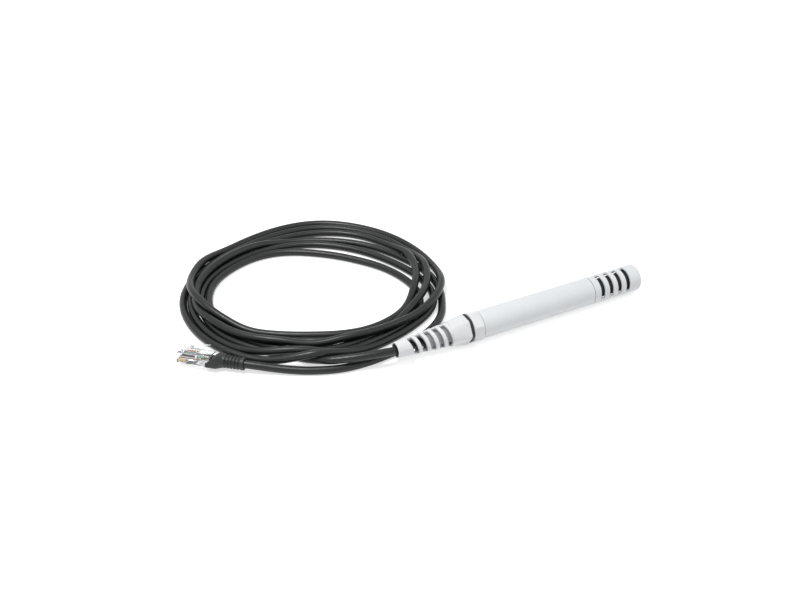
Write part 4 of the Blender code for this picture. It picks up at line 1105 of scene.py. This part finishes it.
def settle_coil():
    """Lays the turns on the floor and on each other, and returns the points in metres.

    The turns are held near their guessed radii, pulled down, kept smooth like a stiff cord,
    and pushed apart wherever two of them come closer than a diameter. All is in millimetres.
    """
    angles, radii, heights = coil_guess()
    wanted = radii.copy()
    reach = CORD_DIAMETER / MM * CONTACT_SHARE
    turn = 360 // COIL_STEP_DEGREES
    held = [0, 1, -2, -1]
    fixed = radii[held].copy(), heights[held].copy()
    for _ in range(SETTLE_ROUNDS):
        radii += HOLD_SHARE * (wanted - radii)
        heights -= FALL_STEP
        for values in (radii, heights):
            bend = values[:-4] - 4 * values[1:-3] + 6 * values[2:-2] - 4 * values[3:-1] + values[4:]
            values[2:-2] -= STIFFNESS * bend
        for apart in range(turn, len(radii), turn):
            push_apart(radii, heights, apart, reach)
        heights = np.maximum(heights, CORD_DIAMETER / MM / 2)
        radii[held], heights[held] = fixed
    return [row_point(*spot) for spot in zip(angles, radii, heights)]


def push_apart(radii, heights, apart, reach):
    """Moves each pair of turns, a whole number of turns apart, until they only touch."""
    dr = radii[apart:] - radii[:-apart]
    dz = heights[apart:] - heights[:-apart]
    distance = np.maximum(np.hypot(dr, dz), 1e-6)
    overlap = np.maximum(reach - distance, 0) / 2
    radii[apart:] += overlap * dr / distance
    heights[apart:] += overlap * dz / distance
    radii[:-apart] -= overlap * dr / distance
    heights[:-apart] -= overlap * dz / distance


def row_point(degrees, radius, height):
    angle = math.radians(degrees) + COIL_FRONT_ANGLE
    x = COIL_CENTRE[0] - radius * math.sin(angle)
    y = COIL_CENTRE[1] - radius * math.cos(angle)
    return Vector((x, y, height)) * MM


# Cord: the whole run

def vectors(route):
    return [Vector(point) * MM for point in route]


def plug_frame():
    """The plug's own axes, from the nose back."""
    turn = Matrix.Rotation(PLUG_HEADING, 4, "Z") @ Matrix.Rotation(PLUG_ROLL, 4, "X")
    return Matrix.Translation(PLUG_NOSE) @ turn


def cord_route():
    plug = plug_frame()
    boot_end = plug @ Vector((-BOOT_END_FROM_NOSE, 0, 0))
    in_plug = plug @ Vector((CORD_IN_PLUG - PLUG_LENGTH, 0, 0))
    straight = smooth_points([Vector(CORD_START) * MM, vectors(GLAND_RUN_ROUTE)[0]], CORD_DIAMETER)
    in_boot = smooth_points([boot_end, in_plug], CORD_DIAMETER)
    route = straight[:-1] + vectors(GLAND_RUN_ROUTE) + settle_coil() + vectors(PLUG_RUN_ROUTE)
    return smooth_points(route + in_boot, CORD_STEP)


def build_cord(material):
    curve = bpy.data.curves.new("cord", "CURVE")
    curve.dimensions = "3D"
    curve.bevel_depth = CORD_DIAMETER / 2
    curve.bevel_resolution = CORD_FACETS
    curve.use_fill_caps = True
    spline = curve.splines.new("POLY")
    points = cord_route()
    spline.points.add(len(points) - 1)
    for slot, point in zip(spline.points, points):
        slot.co = (*point, 1.0)
    spline.use_smooth = True
    cord = link(bpy.data.objects.new("cord", curve))
    curve.materials.append(material)
    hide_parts("cord_gland_run", "cord_coil", "cord_plug_run")
    return cord, sum((b - a).length for a, b in zip(points, points[1:]))


# Camera, light and stage

def place_camera():
    data = bpy.data.cameras.new("camera")
    data.lens = CAMERA_LENS
    data.sensor_width = CAMERA_SENSOR
    camera = link(bpy.data.objects.new("camera", data))
    azimuth, elevation = CAMERA_AZIMUTH, CAMERA_ELEVATION
    level = math.cos(elevation)
    back = Vector(
        (math.sin(azimuth) * level, -math.cos(azimuth) * level, math.sin(elevation))
    )
    camera.location = Vector(CAMERA_AIM) + back * CAMERA_DISTANCE
    camera.rotation_euler = back.to_track_quat("Z", "Y").to_euler()
    bpy.context.scene.camera = camera


def seen_directly(tree):
    """One where the camera looks straight at it, in a reflection or through clear plastic."""
    path = tree.nodes.new("ShaderNodeLightPath")
    seen = path.outputs["Is Camera Ray"]
    for ray in ("Is Glossy Ray", "Is Transmission Ray"):
        seen = math_node(tree, "MAXIMUM", seen, path.outputs[ray])
    return seen


def light_world():
    """A room that lights the object evenly and looks white wherever it is seen."""
    world = bpy.data.worlds.new("white_room")
    bpy.context.scene.world = world
    world.use_nodes = True
    tree = world.node_tree
    back = tree.nodes["Background"]
    strength = tree.nodes.new("ShaderNodeMix")
    strength.data_type = "FLOAT"
    feed(strength, {0: seen_directly(tree), 2: ROOM_LIGHT, 3: 1.0})
    feed(back, {"Strength": strength.outputs[0], "Color": (1.0, 1.0, 1.0, 1.0)})


def soft_light(name, location, size, power):
    data = bpy.data.lights.new(name, "AREA")
    data.shape = "DISK"
    data.size = size
    data.energy = power
    lamp = link(bpy.data.objects.new(name, data))
    lamp.location = location
    aim = Vector(CAMERA_AIM) - Vector(location)
    lamp.rotation_euler = (-aim).to_track_quat("Z", "Y").to_euler()


def build_stage():
    """A floor that is white where the object throws no shadow on it."""
    shape = bmesh.new()
    bmesh.ops.create_grid(shape, x_segments=1, y_segments=1, size=FLOOR_SIZE / 2)
    mesh = bpy.data.meshes.new("floor")
    shape.to_mesh(mesh)
    shape.free()
    floor = link(bpy.data.objects.new("floor", mesh))
    floor.location = (*CAMERA_AIM[:2], -FLOOR_DROP)
    material, tree, shader = new_material("white_floor", (FLOOR_GREY,) * 3)
    lift = math_node(tree, "MULTIPLY", seen_directly(tree), FLOOR_LIFT)
    feed(shader, {"Emission Color": (1.0, 1.0, 1.0, 1.0), "Emission Strength": lift})
    feed(shader, {"Roughness": 0.9})
    mesh.materials.append(material)


def main():
    bpy.context.scene.view_settings.view_transform = "Standard"
    place_camera()
    light_world()
    soft_light("key_light", KEY_PLACE, KEY_SIZE, KEY_POWER)
    soft_light("fill_light", FILL_PLACE, FILL_SIZE, FILL_POWER)
    build_stage()
    materials = make_materials()
    dress_inner_nodes(materials)
    axis = Matrix.Translation((0.0, 0.0, AXIS_HEIGHT))
    for build in (build_probe_tube, build_vent_cap, build_vent_screen,
                  build_gland_body, build_seal_washer, build_cap_nut):
        build(materials, axis)
    for build in (build_plug_shell, build_contacts, build_conductors, build_boot):
        build(materials, plug_frame())
    cord, length = build_cord(materials["cord"])
    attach(cord, "root")


main()
